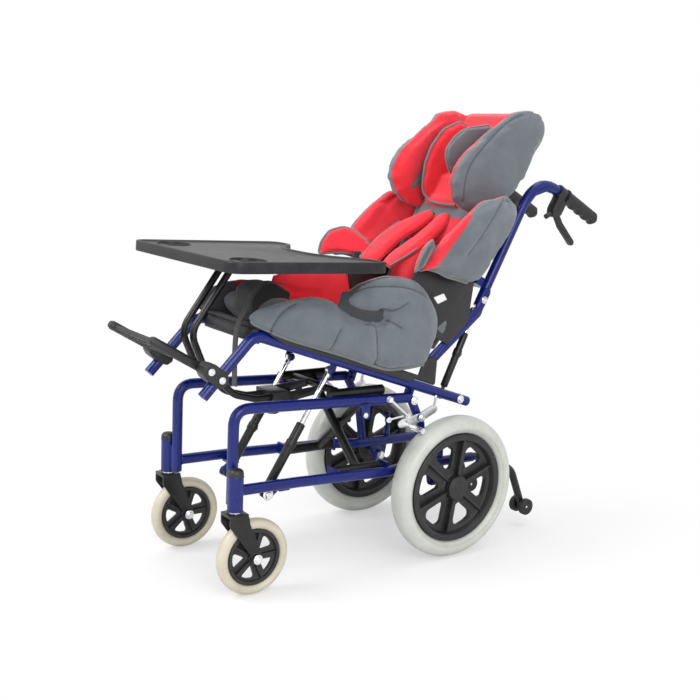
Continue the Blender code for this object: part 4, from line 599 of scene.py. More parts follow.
# %% [markdown]
# The seat frame's two long rails bend down in front into the hangers that hold the
# footplate, and the back frame's tubes bend rearward into the push handles. The crossed
# braces, the tray's posts and the anti-tip tubes are made in the same way.

# %% Seat frame, back frame and the other tubes
HANGER_CORNER, HANGER_END = (0.0073, 0.5127), (-0.101, 0.400)
HANDLE_CORNER, HANDLE_END = (0.7395, 0.8333), (0.934, 0.7301)
SADDLE = (0.0985, 0.372)
BRACE_FOOT = (0.094, 0.203)
RAIL_X, RAIL_T, RAIL_REAR, CROSS_R = 0.120, 0.0317, 0.1565, 0.008
CROSS_TUBES = (-0.355, -0.1967, 0.045)
TRAY_SLOPE, TRAY_FRONT = math.radians(-1.45), -0.099
TRAY_POST_X, TRAY_POST_TOP = 0.020, (0.123, 0.6515)
TRAY_POST = ((-0.078, 0.505), (-0.050, 0.440), (0.022, 0.372), (0.072, 0.3585), (0.176, 0.3585))


def seat_tubes():
    lines = []
    for side, _ in SIDES:
        x = side * RAIL_X
        rail = [on_seat(x, RAIL_REAR, RAIL_T), at(x, *HANGER_CORNER), at(x, *HANGER_END)]
        lines.append((rounded(rail), TUBE_R))
    for s in CROSS_TUBES:
        lines.append(([on_seat(x, s, RAIL_T) for x in (-RAIL_X, RAIL_X)], CROSS_R))
    return lines


def back_tubes():
    lines = []
    for side, _ in SIDES:
        x = side * TAIL_X
        rail = [on_back(x, 0.163, -0.069), at(x, *HANDLE_CORNER), at(x, *HANDLE_END)]
        lines.append((rounded(rail, 0.080), TUBE_R))
    return lines


def brace_tubes(side, leg_y):
    foot, head = side * BRACE_FOOT[0], -side * SADDLE[0]
    return [([at(foot, y, BRACE_FOOT[1]) for y in (0.2195, 0.3405)], TUBE_R),
            ([at(foot, leg_y, BRACE_FOOT[1]), at(head, leg_y, SADDLE[1])], 0.010),
            ([at(head, y, SADDLE[1]) for y in (0.200, 0.3345)], 0.0108)]


def post_tubes():
    run, height = TRAY_POST_TOP
    lines = []
    for side, _ in SIDES:
        x = side * TRAY_POST_X
        path = [at(x, TRAY_FRONT + run * math.cos(TRAY_SLOPE), height)] + traced(at, x, TRAY_POST)
        lines.append((rounded(path, 0.045), 0.007))
    return lines


settle(rounder("seat_frame_tubes", seat_tubes()), "dressed_seat_frame", "seat", blue_lacquer, "blue_paint",
       "seat_frame_tubes")
settle(rounder("back_frame_tubes", back_tubes()), "dressed_back_frame", "back", blue_lacquer, "blue_paint",
       "back_frame_tubes")
for name, side, leg_y in (("front", 1, 0.281), ("rear", -1, 0.306)):
    node = f"brace_leg_{name}"
    settle(rounder(node, brace_tubes(side, leg_y)), f"dressed_{node}", "base", satin_steel, "black_steel", node)
settle(rounder("tray_tubes", post_tubes()), "dressed_tray_posts", "tray", satin_steel, "black_steel", "tray_tubes")
print("frames, braces and posts are round")

# %% [markdown]
# Wheels are turned shapes. A lathe cuts one outline all the way round, and Spin does the
# same: a ring of points is laid out as the outline, then carried round the axle. Spinning
# can leave the surface inside out, so its doubles are merged and its faces turned outward.

# %% A lathe for wheels, knobs and bolts
def ring_of(points):
    """A closed ring of edges through the points, ready for edit mode."""
    calm()
    bpy.ops.mesh.primitive_circle_add(vertices=len(points), fill_type="NOTHING")
    ring = bpy.context.object
    for corner, spot in zip(ring.data.vertices, points):
        corner.co = spot
    return ring


def outward():
    """A step of edited() that turns the faces outward."""
    bpy.ops.mesh.normals_make_consistent(inside=False)


def turned(profile, centre, axis=(1, 0, 0), steps=64):
    """The outline, as (radius, height) pairs, carried round the axis through centre."""
    axis = Vector(axis).normalized()
    out = axis.orthogonal().normalized()
    centre = Vector(centre)
    piece = ring_of([centre + out * r + axis * h for r, h in profile])
    return edited(piece, lambda: bpy.ops.mesh.spin(steps=steps, angle=math.tau, center=centre, axis=axis),
                  lambda: bpy.ops.mesh.remove_doubles(threshold=0.000005), outward)


def both_faces(half):
    """An outline from its outer half: the same again on the other side."""
    return half + [(r, -h) for r, h in reversed(half)]


print("lathe ready:", len(both_faces([(0, 1), (1, 1)])), "points from 2")

# %% [markdown]
# The rim is one black moulding: a flange, a dished web with egg-shaped windows, a hub, and
# a rib down the middle of every spoke. The windows are cut with one boolean. Each egg is
# the outline round a few circles, which is found by asking, for every direction, which
# circle reaches furthest. The cutter is that outline as a slab: a filled ring of edges that
# Extrude carries along the axle. Plates and pads start from such slabs too.

# %% Windows and ribs of a moulded rim
def egg(circles, count=40):
    """The outline round the circles, each (radial place, sideways place, radius)."""
    outline = []
    for i in range(count):
        a = math.tau * i / count
        way = (math.cos(a), math.sin(a))
        c = max(circles, key=lambda one: one[0] * way[0] + one[1] * way[1] + one[2])
        outline.append((c[0] + c[2] * way[0], c[1] + c[2] * way[1]))
    return outline


def spoke_frame(turn):
    """Two directions in the wheel's plane: along the spoke and across it."""
    along = Vector((0, math.sin(turn), math.cos(turn)))
    return along, Vector((1, 0, 0)).cross(along)


def slab(spots, half):
    """A flat form with the outline through spots, as thick as twice half along x."""
    push = Vector((half, 0, 0))
    return edited(ring_of([spot - push for spot in spots]), bpy.ops.mesh.edge_face_add,
                  lambda: bpy.ops.mesh.extrude_region_move(TRANSFORM_OT_translate={"value": tuple(push * 2)}),
                  outward)


def punch(centre, outline, turn, depth):
    """A cutter for one window."""
    along, across = spoke_frame(turn)
    return slab([centre + along * r + across * w for r, w in outline], depth)


def rib(centre, turn, inner, outer, width, tall_in, tall_out):
    """A rib on both faces of the web, lower in its middle than at its ends."""
    along, across = spoke_frame(turn)
    calm()
    bpy.ops.mesh.primitive_cube_add(size=2.0)
    bar = bpy.context.object
    for corner in bar.data.vertices:
        x, w, r = corner.co
        tall = tall_in if r < 0 else tall_out
        place = centre + along * (inner if r < 0 else outer) + across * (w * width * (1.15 if r < 0 else 0.85))
        corner.co = place + Vector((x * tall, 0, 0))
    return bar


def cut_away(piece, cutter):
    shaped(piece, "BOOLEAN", object=cutter, solver="EXACT")
    bpy.data.objects.remove(cutter, do_unlink=True)
    return piece


def moulded_rim(centre, half_outline, windows, count, start, ribs):
    rim = turned(both_faces(half_outline), centre, steps=72)
    cutters = [punch(centre, windows, start + math.tau * (i + 0.5) / count, 0.05) for i in range(count)]
    rim = cut_away(rim, joined(cutters))
    soften(rim, 0.0011, 42)
    bars = [rib(centre, start + math.tau * i / count, *ribs) for i in range(count)]
    bars = soften(joined(bars), 0.0008)
    return joined([rim, bars])


print("an egg has", len(egg([(0.05, 0, 0.01)])), "points round it")

# %% [markdown]
# A tyre is a ring with an oval section. Blender's torus starts it, and squeezing it along the
# axle makes the oval. Its own map runs once round the wheel and once round the section, so
# the fine ribs of the tread's shoulders can be drawn by counting along that map.

# %% Tyres with ribbed shoulders
def ribbed_tyre(name, pale, dull, count, shoulder, depth):
    """A pale solid tyre. shoulder is where the ribs lie round the section."""
    tyre = Finish(name, Coat_Weight=0.2, Coat_Roughness=0.25)
    uv = Wire(tyre, tyre.tree.nodes.new("ShaderNodeTexCoord").outputs["UV"])
    apart = tyre.add("ShaderNodeSeparateXYZ", None, {"Vector": uv})
    around = Wire(tyre, apart.socket.node.outputs["X"])
    section = Wire(tyre, apart.socket.node.outputs["Y"])
    out = (section * 2.0 - 1.0).size()
    band = (1.0 - (out - shoulder).size() * 14.0).at_least(0.0)
    tread = (1.0 - (1.0 - out) * 7.0).at_least(0.0)
    ribs = (around * (math.tau * count)).wave() * (band + tread).at_most(1.0)
    dust = tyre.grain(18.0, 7.0, 0.68)
    shade = tyre.blend((dust - 0.3) * 1.6, dull, pale)
    tyre.set(Base_Color=tyre.blend(ribs * 0.45, shade, tuple(c * 0.45 for c in dull)))
    tyre.set(Roughness=0.33 + dust * 0.2, Normal=tyre.bump(ribs + dust * 0.15, depth, 0.8))
    return tyre.material


def tyre_ring(centre, rim_r, outer_r, half, steps=144):
    calm()
    middle, thick = (rim_r + outer_r) / 2, (outer_r - rim_r) / 2
    bpy.ops.mesh.primitive_torus_add(major_radius=middle, minor_radius=thick, major_segments=steps, minor_segments=32)
    ring = bpy.context.object
    for corner in ring.data.vertices:
        x, y, z = corner.co
        corner.co = centre + Vector((z / thick * half, x, y))
    return edited(ring, outward)


grey_tyre = ribbed_tyre("grey_tyre", linear(207, 210, 204), linear(178, 181, 174), 150, 0.62, 0.0006)
cream_tyre = ribbed_tyre("cream_tyre", linear(210, 204, 186), linear(182, 174, 154), 90, 0.9, 0.0001)
print("made", grey_tyre.name, cream_tyre.name)

# %% [markdown]
# The rear wheel's hub rises in steps to a round cap. A caster is the same wheel in small,
# with five spokes instead of six, and its axle's bolt heads come later with the fork's.

# %% Wheels in place
REAR_HALF = [(0.0065, 0.0262), (0.0110, 0.0262), (0.0118, 0.0250), (0.0190, 0.0250), (0.0204, 0.0240),
             (0.0246, 0.0240), (0.0262, 0.0225), (0.0275, 0.0080), (0.0320, 0.0052), (0.0960, 0.0042),
             (0.1020, 0.0070), (0.1045, 0.0170), (0.1062, 0.0196), (0.1085, 0.0203), (0.1170, 0.0203),
             (0.1195, 0.0188), (0.1198, 0.0100)]
CASTER_HALF = [(0.0065, 0.0138), (0.0120, 0.0138), (0.0135, 0.0128), (0.0142, 0.0060), (0.0180, 0.0040),
               (0.0460, 0.0036), (0.0485, 0.0050), (0.0498, 0.0095), (0.0510, 0.0108), (0.0560, 0.0108),
               (0.0572, 0.0095), (0.0575, 0.0050)]
REAR_EGG = egg([(0.0520, 0.0, 0.0090), (0.0800, 0.0100, 0.0135), (0.0800, -0.0100, 0.0135)])
CASTER_EGG = egg([(0.0230, 0.0, 0.0035), (0.0400, 0.0095, 0.0045), (0.0400, -0.0095, 0.0045), (0.0415, 0.0, 0.0045)])
HUB_CAP = [(0, 0.0268), (0.0072, 0.0268), (0.0080, 0.0255), (0.0080, 0.010), (0, 0.010)]
REAR_X, REAR_Y, REAR_R, CASTER_R = 0.169, 0.486, 0.1575, 0.0775
REAR_RIBS = (0.024, 0.104, 0.0030, 0.0170, 0.0150)
CASTER_RIBS = (0.012, 0.050, 0.0024, 0.0100, 0.0085)

for side, tag in SIDES:
    hub = at(side * REAR_X, REAR_Y, REAR_R)
    rim = moulded_rim(hub, REAR_HALF, REAR_EGG, 6, 0.16, REAR_RIBS)
    rim = joined([rim, turned(HUB_CAP, hub, (side, 0, 0), 32)])
    settle(rim, f"moulded_rear_rim_{tag}", f"rear_wheel_{tag}", nylon, "black_plastic", f"rear_rim_{tag}", smooth=32)
    tyre = tyre_ring(hub, 0.1178, REAR_R, 0.027)
    settle(tyre, f"solid_rear_tyre_{tag}", f"rear_wheel_{tag}", grey_tyre, "grey_tyre", f"rear_tyre_{tag}")
    axle = at(side * HOUSING_X, 0.0, CASTER_R)
    rim = moulded_rim(axle, CASTER_HALF, CASTER_EGG, 5, 0.25, CASTER_RIBS)
    settle(rim, f"moulded_caster_rim_{tag}", f"caster_wheel_{tag}", nylon, "black_plastic", f"caster_rim_{tag}",
           smooth=32)
    tyre = tyre_ring(axle, 0.0560, CASTER_R, 0.014, 96)
    settle(tyre, f"solid_caster_tyre_{tag}", f"caster_wheel_{tag}", cream_tyre, "cream_tyre", f"caster_tyre_{tag}")
    print(tag, "wheels fitted at", [round(c, 3) for c in hub], "and", [round(c, 3) for c in axle])

# %% [markdown]
# The cushions are foam in a sewn cover. A sculptor could push such a form about by hand, but
# real covers get their look from being filled: they are cut flat, sewn, and swell. So each
# pad is meshed evenly, made a little small, and blown up gently by the cloth simulation.
# No point may move further than a cap, which keeps the pad clear of its neighbours.

# %% Stuff a cover
SMALL_PAD = {"voxel": 0.004, "shrink": 0.001, "cap": 0.004}


def normals_of(piece):
    ways = np.zeros(len(piece.data.vertices) * 3)
    piece.data.vertices.foreach_get("normal", ways)
    return ways.reshape(-1, 3)


def move_to(piece, spots):
    piece.data.vertices.foreach_set("co", np.asarray(spots, float).ravel())
    piece.data.update()


def blow_up(piece, cap, pressure=4.0, last_frame=20):
    """Runs the cloth under pressure and keeps each point within cap of where it began."""
    start = spots_of(piece)
    cloth = piece.modifiers.new("cloth", "CLOTH")
    cloth.settings.use_pressure = True
    cloth.settings.uniform_pressure_force = pressure
    cloth.settings.effector_weights.gravity = 0.0
    cloth.settings.quality = 4
    for frame_number in range(1, last_frame + 1):
        bpy.context.scene.frame_set(frame_number)
    swollen = piece.evaluated_get(bpy.context.evaluated_depsgraph_get())
    ends = np.array([v.co[:] for v in swollen.data.vertices])
    step = ends - start
    length = np.linalg.norm(step, axis=1, keepdims=True)
    piece.modifiers.remove(cloth)
    bpy.context.scene.frame_set(1)
    move_to(piece, start + step * np.minimum(1.0, cap / np.maximum(length, 1e-9)))


def stuff(piece, voxel=0.005, shrink=0.002, cap=0.007):
    """Even mesh, slightly small, then swollen, smoothed and subdivided once."""
    shaped(piece, "REMESH", mode="VOXEL", voxel_size=voxel)
    move_to(piece, spots_of(piece) - normals_of(piece) * shrink)
    blow_up(piece, cap)
    shaped(piece, "SMOOTH", factor=0.5, iterations=3)
    shaped(piece, "SUBSURF", levels=1, render_levels=1)
    print("stuffed", piece.name, "with", len(piece.data.polygons), "faces")
    return piece


# %% [markdown]
# Seams come after the stuffing, because an even mesh has no narrow grooves. A seam pulls the
# cloth in along its line, and the shade in that groove is also painted into the cloth's colour
# as a dark line. A corded seam also has piping, which lies on the surface along the panel's rim.

# %% Seams and piping
# How wide the painted shade along a seam's groove is.
SEAM_SHADE_WIDTH = 0.0016


def curve_through(points, closed=True, between=8):
    """A smooth line through the points, with a few places between each pair."""
    count = len(points)
    line = []
    for i in range(count if closed else count - 1):
        p = [Vector(points[j % count] if closed else points[min(max(j, 0), count - 1)]) for j in range(i - 1, i + 3)]
        for k in range(between):
            t = k / between
            line.append(0.5 * (2 * p[1] + (p[2] - p[0]) * t + (2 * p[0] - 5 * p[1] + 4 * p[2] - p[3]) * t ** 2
                               + (3 * p[1] - p[0] - 3 * p[2] + p[3]) * t ** 3))
    line.append(line[0].copy() if closed else Vector(points[-1]))
    return line


def note(piece, name, values):
    """Stores one number for every point, for the material to read."""
    layer = piece.data.attributes.get(name) or piece.data.attributes.new(name, "FLOAT", "POINT")
    layer.data.foreach_set("value", np.asarray(values, np.float32))


def noted(piece, name):
    """The numbers stored under that name, or noughts where there are none."""
    values = np.zeros(len(piece.data.vertices), np.float32)
    if piece.data.attributes.get(name):
        piece.data.attributes[name].data.foreach_get("value", values)
    return values


def surface(piece):
    bpy.context.view_layer.update()
    return BVHTree.FromObject(piece, bpy.context.evaluated_depsgraph_get())


def laid_on(piece, points, lift, reach=0.02):
    """The points moved to the nearest cloth, in runs that end where the cloth is too far."""
    tree, runs = surface(piece), [[]]
    for point in points:
        spot, way, _, gap = tree.find_nearest(Vector(point))
        if gap <= reach:
            runs[-1].append(spot + way * lift)
        elif runs[-1]:
            runs.append([])
    if len(runs) > 1 and runs[0] and runs[-1] and (points[0] - points[-1]).length < 0.002:
        runs[0] = runs.pop() + runs[0]
    return [run for run in runs if len(run) > 4]


def relaxed(line, rounds):
    line = [Vector(p) for p in line]
    loop = (line[0] - line[-1]).length < 0.004
    for _ in range(rounds):
        inner = [(a + b * 2 + c) / 4 for a, b, c in zip(line, line[1:], line[2:])]
        ends = (line[-2] + line[0] * 2 + line[1]) / 4 if loop else None
        line = [ends or line[0]] + inner + [ends or line[-1]]
    return line


def sew(piece, line, depth=0.003, width=0.0055):
    """Pulls the cloth in along the line and paints shade along the groove."""
    for run in laid_on(piece, line, 0.0):
        spots = spots_of(piece)
        gap = gap_to_line(spots, relaxed(run, 1))
        move_to(piece, spots - normals_of(piece) * (depth * np.exp(-(gap / width) ** 2))[:, None])
        # The groove's shade is painted as a dark line in the cloth.
        note(piece, "crease", np.maximum(noted(piece, "crease"), np.exp(-(gap / SEAM_SHADE_WIDTH) ** 2)))
    return piece


def piping(piece, line, radius, reach):
    """A round cord half sunk in the cloth along the line, in as many runs as show."""
    runs = laid_on(piece, line, radius * 0.35, reach)
    return [tube(relaxed(run, 4), radius, 4) for run in runs]


print("seams and piping ready; a smooth square has", len(curve_through([(0, 0, 0), (1, 0, 0), (1, 1, 0)])), "places")

# %% [markdown]
# Each cover is sewn from a grey outer panel and a red inner panel. A number called facing is
# above a half where the red panel is. It comes from which way the cloth faces, and on the
# wings also from the distance to the rim, where a grey border or a red strip runs.

# %% Which panel a place belongs to
PANEL_EDGE = 0.006


def inward(piece, way):
    """1 where the cloth faces along way, 0 where it faces against it."""
    return np.clip(0.5 + 3.0 * (normals_of(piece) @ np.array(way)), 0, 1)


def toward_middle(piece):
    """1 where the cloth faces the chair's middle, 0 where it faces away from it."""
    return np.clip(0.5 - 3.0 * normals_of(piece)[:, 0] * np.sign(spots_of(piece)[:, 0]), 0, 1)


def past(lengths):
    """Above a half where the length is above nought, and below it elsewhere."""
    return np.clip(0.5 + lengths / PANEL_EDGE, 0, 1)


def within(gaps, width):
    """Above a half nearer than width, and below it further away."""
    return past(width - gaps)


def seat_lines(places):
    """The seat's own lengths and heights of many places at once."""
    away = places - np.array(at(0, *TILT_PIVOT))
    c, k = math.cos(SEAT_PITCH), math.sin(SEAT_PITCH)
    return away[:, 1] * c - away[:, 2] * k, away[:, 1] * k + away[:, 2] * c


def back_lines(places):
    """The back's own heights and depths of many places at once."""
    away = places - np.array(at(0, *RECLINE_HINGE))
    c, k = math.cos(BACK_LEAN), math.sin(BACK_LEAN)
    return away[:, 1] * k + away[:, 2] * c, away[:, 2] * k - away[:, 1] * c


def padded_piece(piece, name, body, node, slot):
    settle(piece, name, body, cover_cloth, slot, *([node] if node else []), smooth=60)
    return piece


def trim(cords, name, body):
    """All the piping of one pad as one piece."""
    if cords:
        settle(joined(cords), name, body, piping_cloth, "grey_fabric", smooth=60)


print("a panel's edge is blended over", PANEL_EDGE * 1000, "mm")

# %% [markdown]
# A side pad is a long thigh pad and a round hip pad in one cover, with a lining that closes
# the opening for the elbow. The lining is darkened with painted shade, as that deep fold lies
# in shade. Its front end curves in round the corner of the seat. Outside it is grey with darts
# that pull it round the thigh, inside it is red, and a thick cord closes its lower edge.

# %% Side pads
PAD_X = 0.1385
LINING = ((0.195, 0.600), (0.182, 0.562), (0.212, 0.533), (0.262, 0.510), (0.315, 0.503), (0.336, 0.560),
          (0.300, 0.602))
LOWER_EDGE = ((-0.033, 0.532), (-0.020, 0.522), (0.010, 0.514), (0.099, 0.483), (0.214, 0.447), (0.300, 0.418),
              (0.338, 0.412), (0.412, 0.417))
FRONT_END, FRONT_RUN, CURVE_IN, CURVE_BACK = 0.095, 0.125, 0.034, 0.024
SIDE_DARTS = (((0.018, 0.516), (0.034, 0.545), (0.054, 0.566), (0.078, 0.583)),
              ((0.181, 0.520), (0.169, 0.497), (0.161, 0.472)),
              ((0.245, 0.533), (0.265, 0.531), (0.274, 0.490), (0.277, 0.427)),
              ((0.200, 0.592), (0.244, 0.602), (0.300, 0.601), (0.350, 0.595), (0.395, 0.580)),
              ((0.284, 0.545), (0.305, 0.550), (0.322, 0.554), (0.345, 0.565)),
              ((0.290, 0.536), (0.312, 0.524), (0.332, 0.514)))


def toward_front(spots):
    """0 behind the front end, and rising to 1 ahead of it."""
    return np.clip((FRONT_END - (spots[:, 1] - Y_SHIFT)) / FRONT_RUN, 0, 1) ** 1.6


def curve_in(spots, side):
    """Moves places near the front end inward and a little rearward."""
    return spots + np.outer(toward_front(spots), (-side * CURVE_IN, CURVE_BACK, 0.0))


def side_line(points, x, side):
    spots = np.array([spot[:] for spot in traced(at, side * x, points)])
    return curve_through([Vector(p) for p in curve_in(spots, side)], False)


def side_pad(side, tag):
    lining = slab(traced(at, side * (PAD_X - 0.005), LINING), 0.006)
    pad = stuff(joined([copy_of(f"seat_bolster_{tag}"), lining]))
    move_to(pad, curve_in(spots_of(pad), side))
    for dart in SIDE_DARTS:
        sew(pad, side_line(dart, PAD_X + 0.017, side))
    places, ways = spots_of(pad), normals_of(pad)
    behind = past(places[:, 1] - Y_SHIFT - 0.100)
    note(pad, "facing", np.minimum(inward(pad, (-side, 0, 0)), behind))
    # Painted shade: the lining and the inner walls of the elbow opening are darkened fully.
    opening_shade = (ways[:, 0] * side > 0.3) & (places[:, 0] * side < PAD_X + 0.007) & (places[:, 1] - Y_SHIFT > 0.170)
    note(pad, "crease", np.maximum(noted(pad, "crease"), opening_shade * 1.0))
    padded_piece(pad, f"side_pad_{tag}", "seat", f"seat_bolster_{tag}", "grey_fabric")
    trim(piping(pad, side_line(LOWER_EDGE, PAD_X + 0.012, side), 0.0032, 0.02), f"side_pad_piping_{tag}", "seat")
    return pad


side_pads = [side_pad(side, tag) for side, tag in SIDES]
print("side pads reach", [round(max(v.co.z for v in pad.data.vertices), 3) for pad in side_pads])

# %% [markdown]
# The back wings hug the child's ribs. On the near wing the red inner panel comes round the
# front edge as a strip that widens downward, and a curved seam crosses the grey panel behind
# it. On the far wing the grey panel shows as a border. A thick cord closes the lower edge.

# %% Back wings
WING_STRIP = ((0.388, 0.050, 0.164), (0.352, 0.100, 0.170), (0.300, 0.129, 0.172), (0.250, 0.149, 0.172),
              (0.190, 0.164, 0.167), (0.142, 0.172, 0.158), (0.160, 0.130, 0.152), (0.195, 0.115, 0.160),
              (0.270, 0.090, 0.172), (0.350, 0.066, 0.174), (0.372, 0.040, 0.166))
WING_FRONT = ((0.396, 0.026, 0.155), (0.389, 0.054, 0.164), (0.353, 0.103, 0.170), (0.300, 0.132, 0.172),
              (0.250, 0.152, 0.172), (0.190, 0.167, 0.167), (0.139, 0.175, 0.158))
WING_BOTTOM = ((0.139, 0.175, 0.158), (0.156, 0.150, 0.154), (0.168, 0.120, 0.152), (0.174, 0.072, 0.146),
               (0.177, 0.020, 0.142))
WING_SEAM = ((0.386, 0.030, 0.178), (0.366, 0.058, 0.184), (0.311, 0.070, 0.188), (0.264, 0.074, 0.188),
             (0.225, 0.076, 0.180))


def wing_line(points, side):
    return curve_through([on_back(side * x, u, v) for u, v, x in points], False)


def back_wing(side, tag):
    strip = slab([on_back(side * x, u, v) for u, v, x in WING_STRIP], 0.011)
    wing = stuff(joined([copy_of(f"back_wing_{tag}"), strip]))
    sew(wing, wing_line(WING_SEAM, side))
    height, depth = back_lines(spots_of(wing))
    inner = inward(wing, (-side, 0, 0))
    if side > 0:
        strip_edge = 0.1085 + (0.347 - height) * 0.165
        note(wing, "facing", np.maximum(inner, past(depth - strip_edge)))
    else:
        border = within(gap_to_line(spots_of(wing), wing_line(WING_FRONT, side)), 0.011)
        note(wing, "facing", np.minimum(inner, 1 - border))
    padded_piece(wing, f"back_wing_pad_{tag}", "back", f"back_wing_{tag}", "grey_fabric")
    trim(piping(wing, wing_line(WING_BOTTOM, side), 0.0034, 0.02), f"back_wing_piping_{tag}", "back")
    return wing


back_wings = [back_wing(side, tag) for side, tag in SIDES]
print("back wings have", [len(w.data.polygons) for w in back_wings], "faces")

# %% [markdown]
# Between the wing and the hip pad a smaller pad holds the child's chest. It starts at the
# side of the back and flares outward as it comes forward, so from the camera the far one
# shows its whole red face and the near one only its edge. A flat black arm beside the back
# cushion carries it, and ends inside the pad.

# %% Chest side pads
CHEST_RIM = ((0.165, 0.098), (0.190, 0.106), (0.211, 0.130), (0.219, 0.152), (0.216, 0.173), (0.194, 0.192),
             (0.160, 0.197), (0.134, 0.192), (0.149, 0.165), (0.165, 0.130))
CHEST_ROOT, CHEST_FLARE = (0.105, 0.110), 0.9
CHEST_ARM_X = 0.110
CHEST_ARM = ((0.150, -0.010), (0.190, -0.010), (0.192, 0.118), (0.168, 0.118))


def chest_line(points, side):
    return [on_back(side * (CHEST_ROOT[0] + (v - CHEST_ROOT[1]) * CHEST_FLARE), u, v) for u, v in points]


def plate(spots, half, edge=0.0008, angle=40):
    """A slab with softened edges."""
    return soften(slab(spots, half), edge, angle)


def chest_pad(side, tag):
    pad = stuff(slab(chest_line(CHEST_RIM, side), 0.0085), **SMALL_PAD)
    note(pad, "facing", inward(pad, (-side, 0, 0)))
    # Painted shade: the face turned away from the middle, between the wing and the hip pad, is darkened.
    note(pad, "crease", np.clip(normals_of(pad)[:, 0] * side * 3.0 - 0.5, 0, 0.9))
    padded_piece(pad, f"chest_pad_{tag}", "back", "", "red_fabric")
    trim(piping(pad, curve_through(chest_line(CHEST_RIM, side)), 0.0030, 0.01), f"chest_pad_piping_{tag}", "back")
    arm = plate(traced(on_back, side * CHEST_ARM_X, CHEST_ARM), 0.0022)
    settle(arm, f"chest_pad_arm_{tag}", "back", nylon, "black_plastic")


for side, tag in SIDES:
    chest_pad(side, tag)
print("chest pads flare out to", round(CHEST_ROOT[0] + (0.204 - CHEST_ROOT[1]) * CHEST_FLARE, 3))

# %% [markdown]
# The head cushion has two deep wings round a shallow middle, and its top edge runs straight
# from one to the other. The wings are grey outside, with one long seam, and red inside. A
# grey border runs along the rims, broad on the far wing and the top, narrow on the near one.

# %% Head cushion
HEAD_LOBE = ((0.470, 0.138), (0.430, 0.158), (0.385, 0.164), (0.352, 0.156), (0.328, 0.130), (0.318, 0.095),
             (0.324, 0.055), (0.347, 0.020), (0.387, -0.010), (0.430, -0.026), (0.470, 0.020))
HEAD_CROWN = ((0.530, 0.108), (0.560, 0.096), (0.576, 0.079), (0.591, 0.057), (0.598, 0.024), (0.590, 0.000),
              (0.560, -0.012), (0.530, 0.020))
HEAD_TOP = ((0.550, 0.023), (0.590, 0.024), (0.606, 0.018), (0.612, 0.006), (0.606, -0.008), (0.585, -0.016),
            (0.560, -0.022))
HEAD_WING_RIM = ((0.316, 0.100), (0.325, 0.132), (0.352, 0.160), (0.385, 0.168), (0.430, 0.162), (0.480, 0.141),
                 (0.535, 0.112), (0.564, 0.099), (0.594, 0.060), (0.603, 0.024), (0.600, 0.000))
HEAD_SEAM = ((0.566, 0.070), (0.529, 0.100), (0.480, 0.117), (0.423, 0.133), (0.380, 0.130), (0.331, 0.102))


def head_x(u, off=0.0):
    return 0.097 + 0.030 * (u - 0.316) / 0.284 + off


def head_outline(points, side):
    return [on_back(side * (head_x(u) + max(0.0, v - 0.08) * 0.08), u, v) for u, v in points]


lobes = [slab(head_outline(points, side), 0.014) for side, _ in SIDES for points in (HEAD_LOBE, HEAD_CROWN)]
crown = slab(traced(on_back, 0, HEAD_TOP), 0.112)
head = stuff(joined([copy_of("head_cushion"), crown, *lobes]), cap=0.006)
for side, _ in SIDES:
    sew(head, curve_through([on_back(side * head_x(u, 0.018), u, v) for u, v in HEAD_SEAM], False))
places = spots_of(head)
height, _ = back_lines(places)
red_side = np.where(np.abs(places[:, 0]) < head_x(height, -0.018), inward(head, FORWARD), toward_middle(head))
rims = [curve_through(head_outline(HEAD_WING_RIM, side), False) for side, _ in SIDES]
top_line = curve_through([on_back(x, 0.614, 0.008) for x in (-0.115, -0.05, 0.0, 0.05, 0.10)], False)
border = np.maximum(within(gap_to_line(places, rims[1]), 0.014), within(gap_to_line(places, rims[0]), 0.004))
border = np.maximum(border, within(gap_to_line(places, top_line), 0.020))
note(head, "facing", np.minimum(red_side, 1 - border))
padded_piece(head, "head_pad", "headrest", "head_cushion", "grey_fabric")
print("head pad has", len(head.data.polygons), "faces")

# %% [markdown]
# Inside the head cushion lies a small boat-shaped liner. It has a back, a floor and two flaps
# that are red inside and grey outside, and its whole front edge is corded. Its flaps and its
# floor are drawn as flat slabs, and the even mesh welds them into one soft form.

# %% Head liner
FAR_FLAP = ((0.546, 0.0755), (0.507, 0.107), (0.457, 0.1176), (0.4145, 0.1143), (0.377, 0.101), (0.352, 0.085),
            (0.340, 0.060), (0.340, 0.026), (0.556, 0.026))
NEAR_FLAP = ((0.5425, 0.0687), (0.5024, 0.124), (0.468, 0.1435), (0.438, 0.1495), (0.417, 0.141), (0.399, 0.119),
             (0.385, 0.088), (0.370, 0.026), (0.552, 0.026))
LINER_FLOOR = ((0.336, 0.024), (0.333, 0.064), (0.340, 0.070), (0.352, 0.067), (0.362, 0.062), (0.408, 0.060),
               (0.430, 0.043), (0.540, 0.038), (0.552, 0.024))
FAR_X, NEAR_X = -0.058, 0.040
LIP_FRONT = ((-0.040, 0.342, 0.076), (-0.015, 0.338, 0.070), (0.020, 0.337, 0.070), (0.050, 0.337, 0.070))

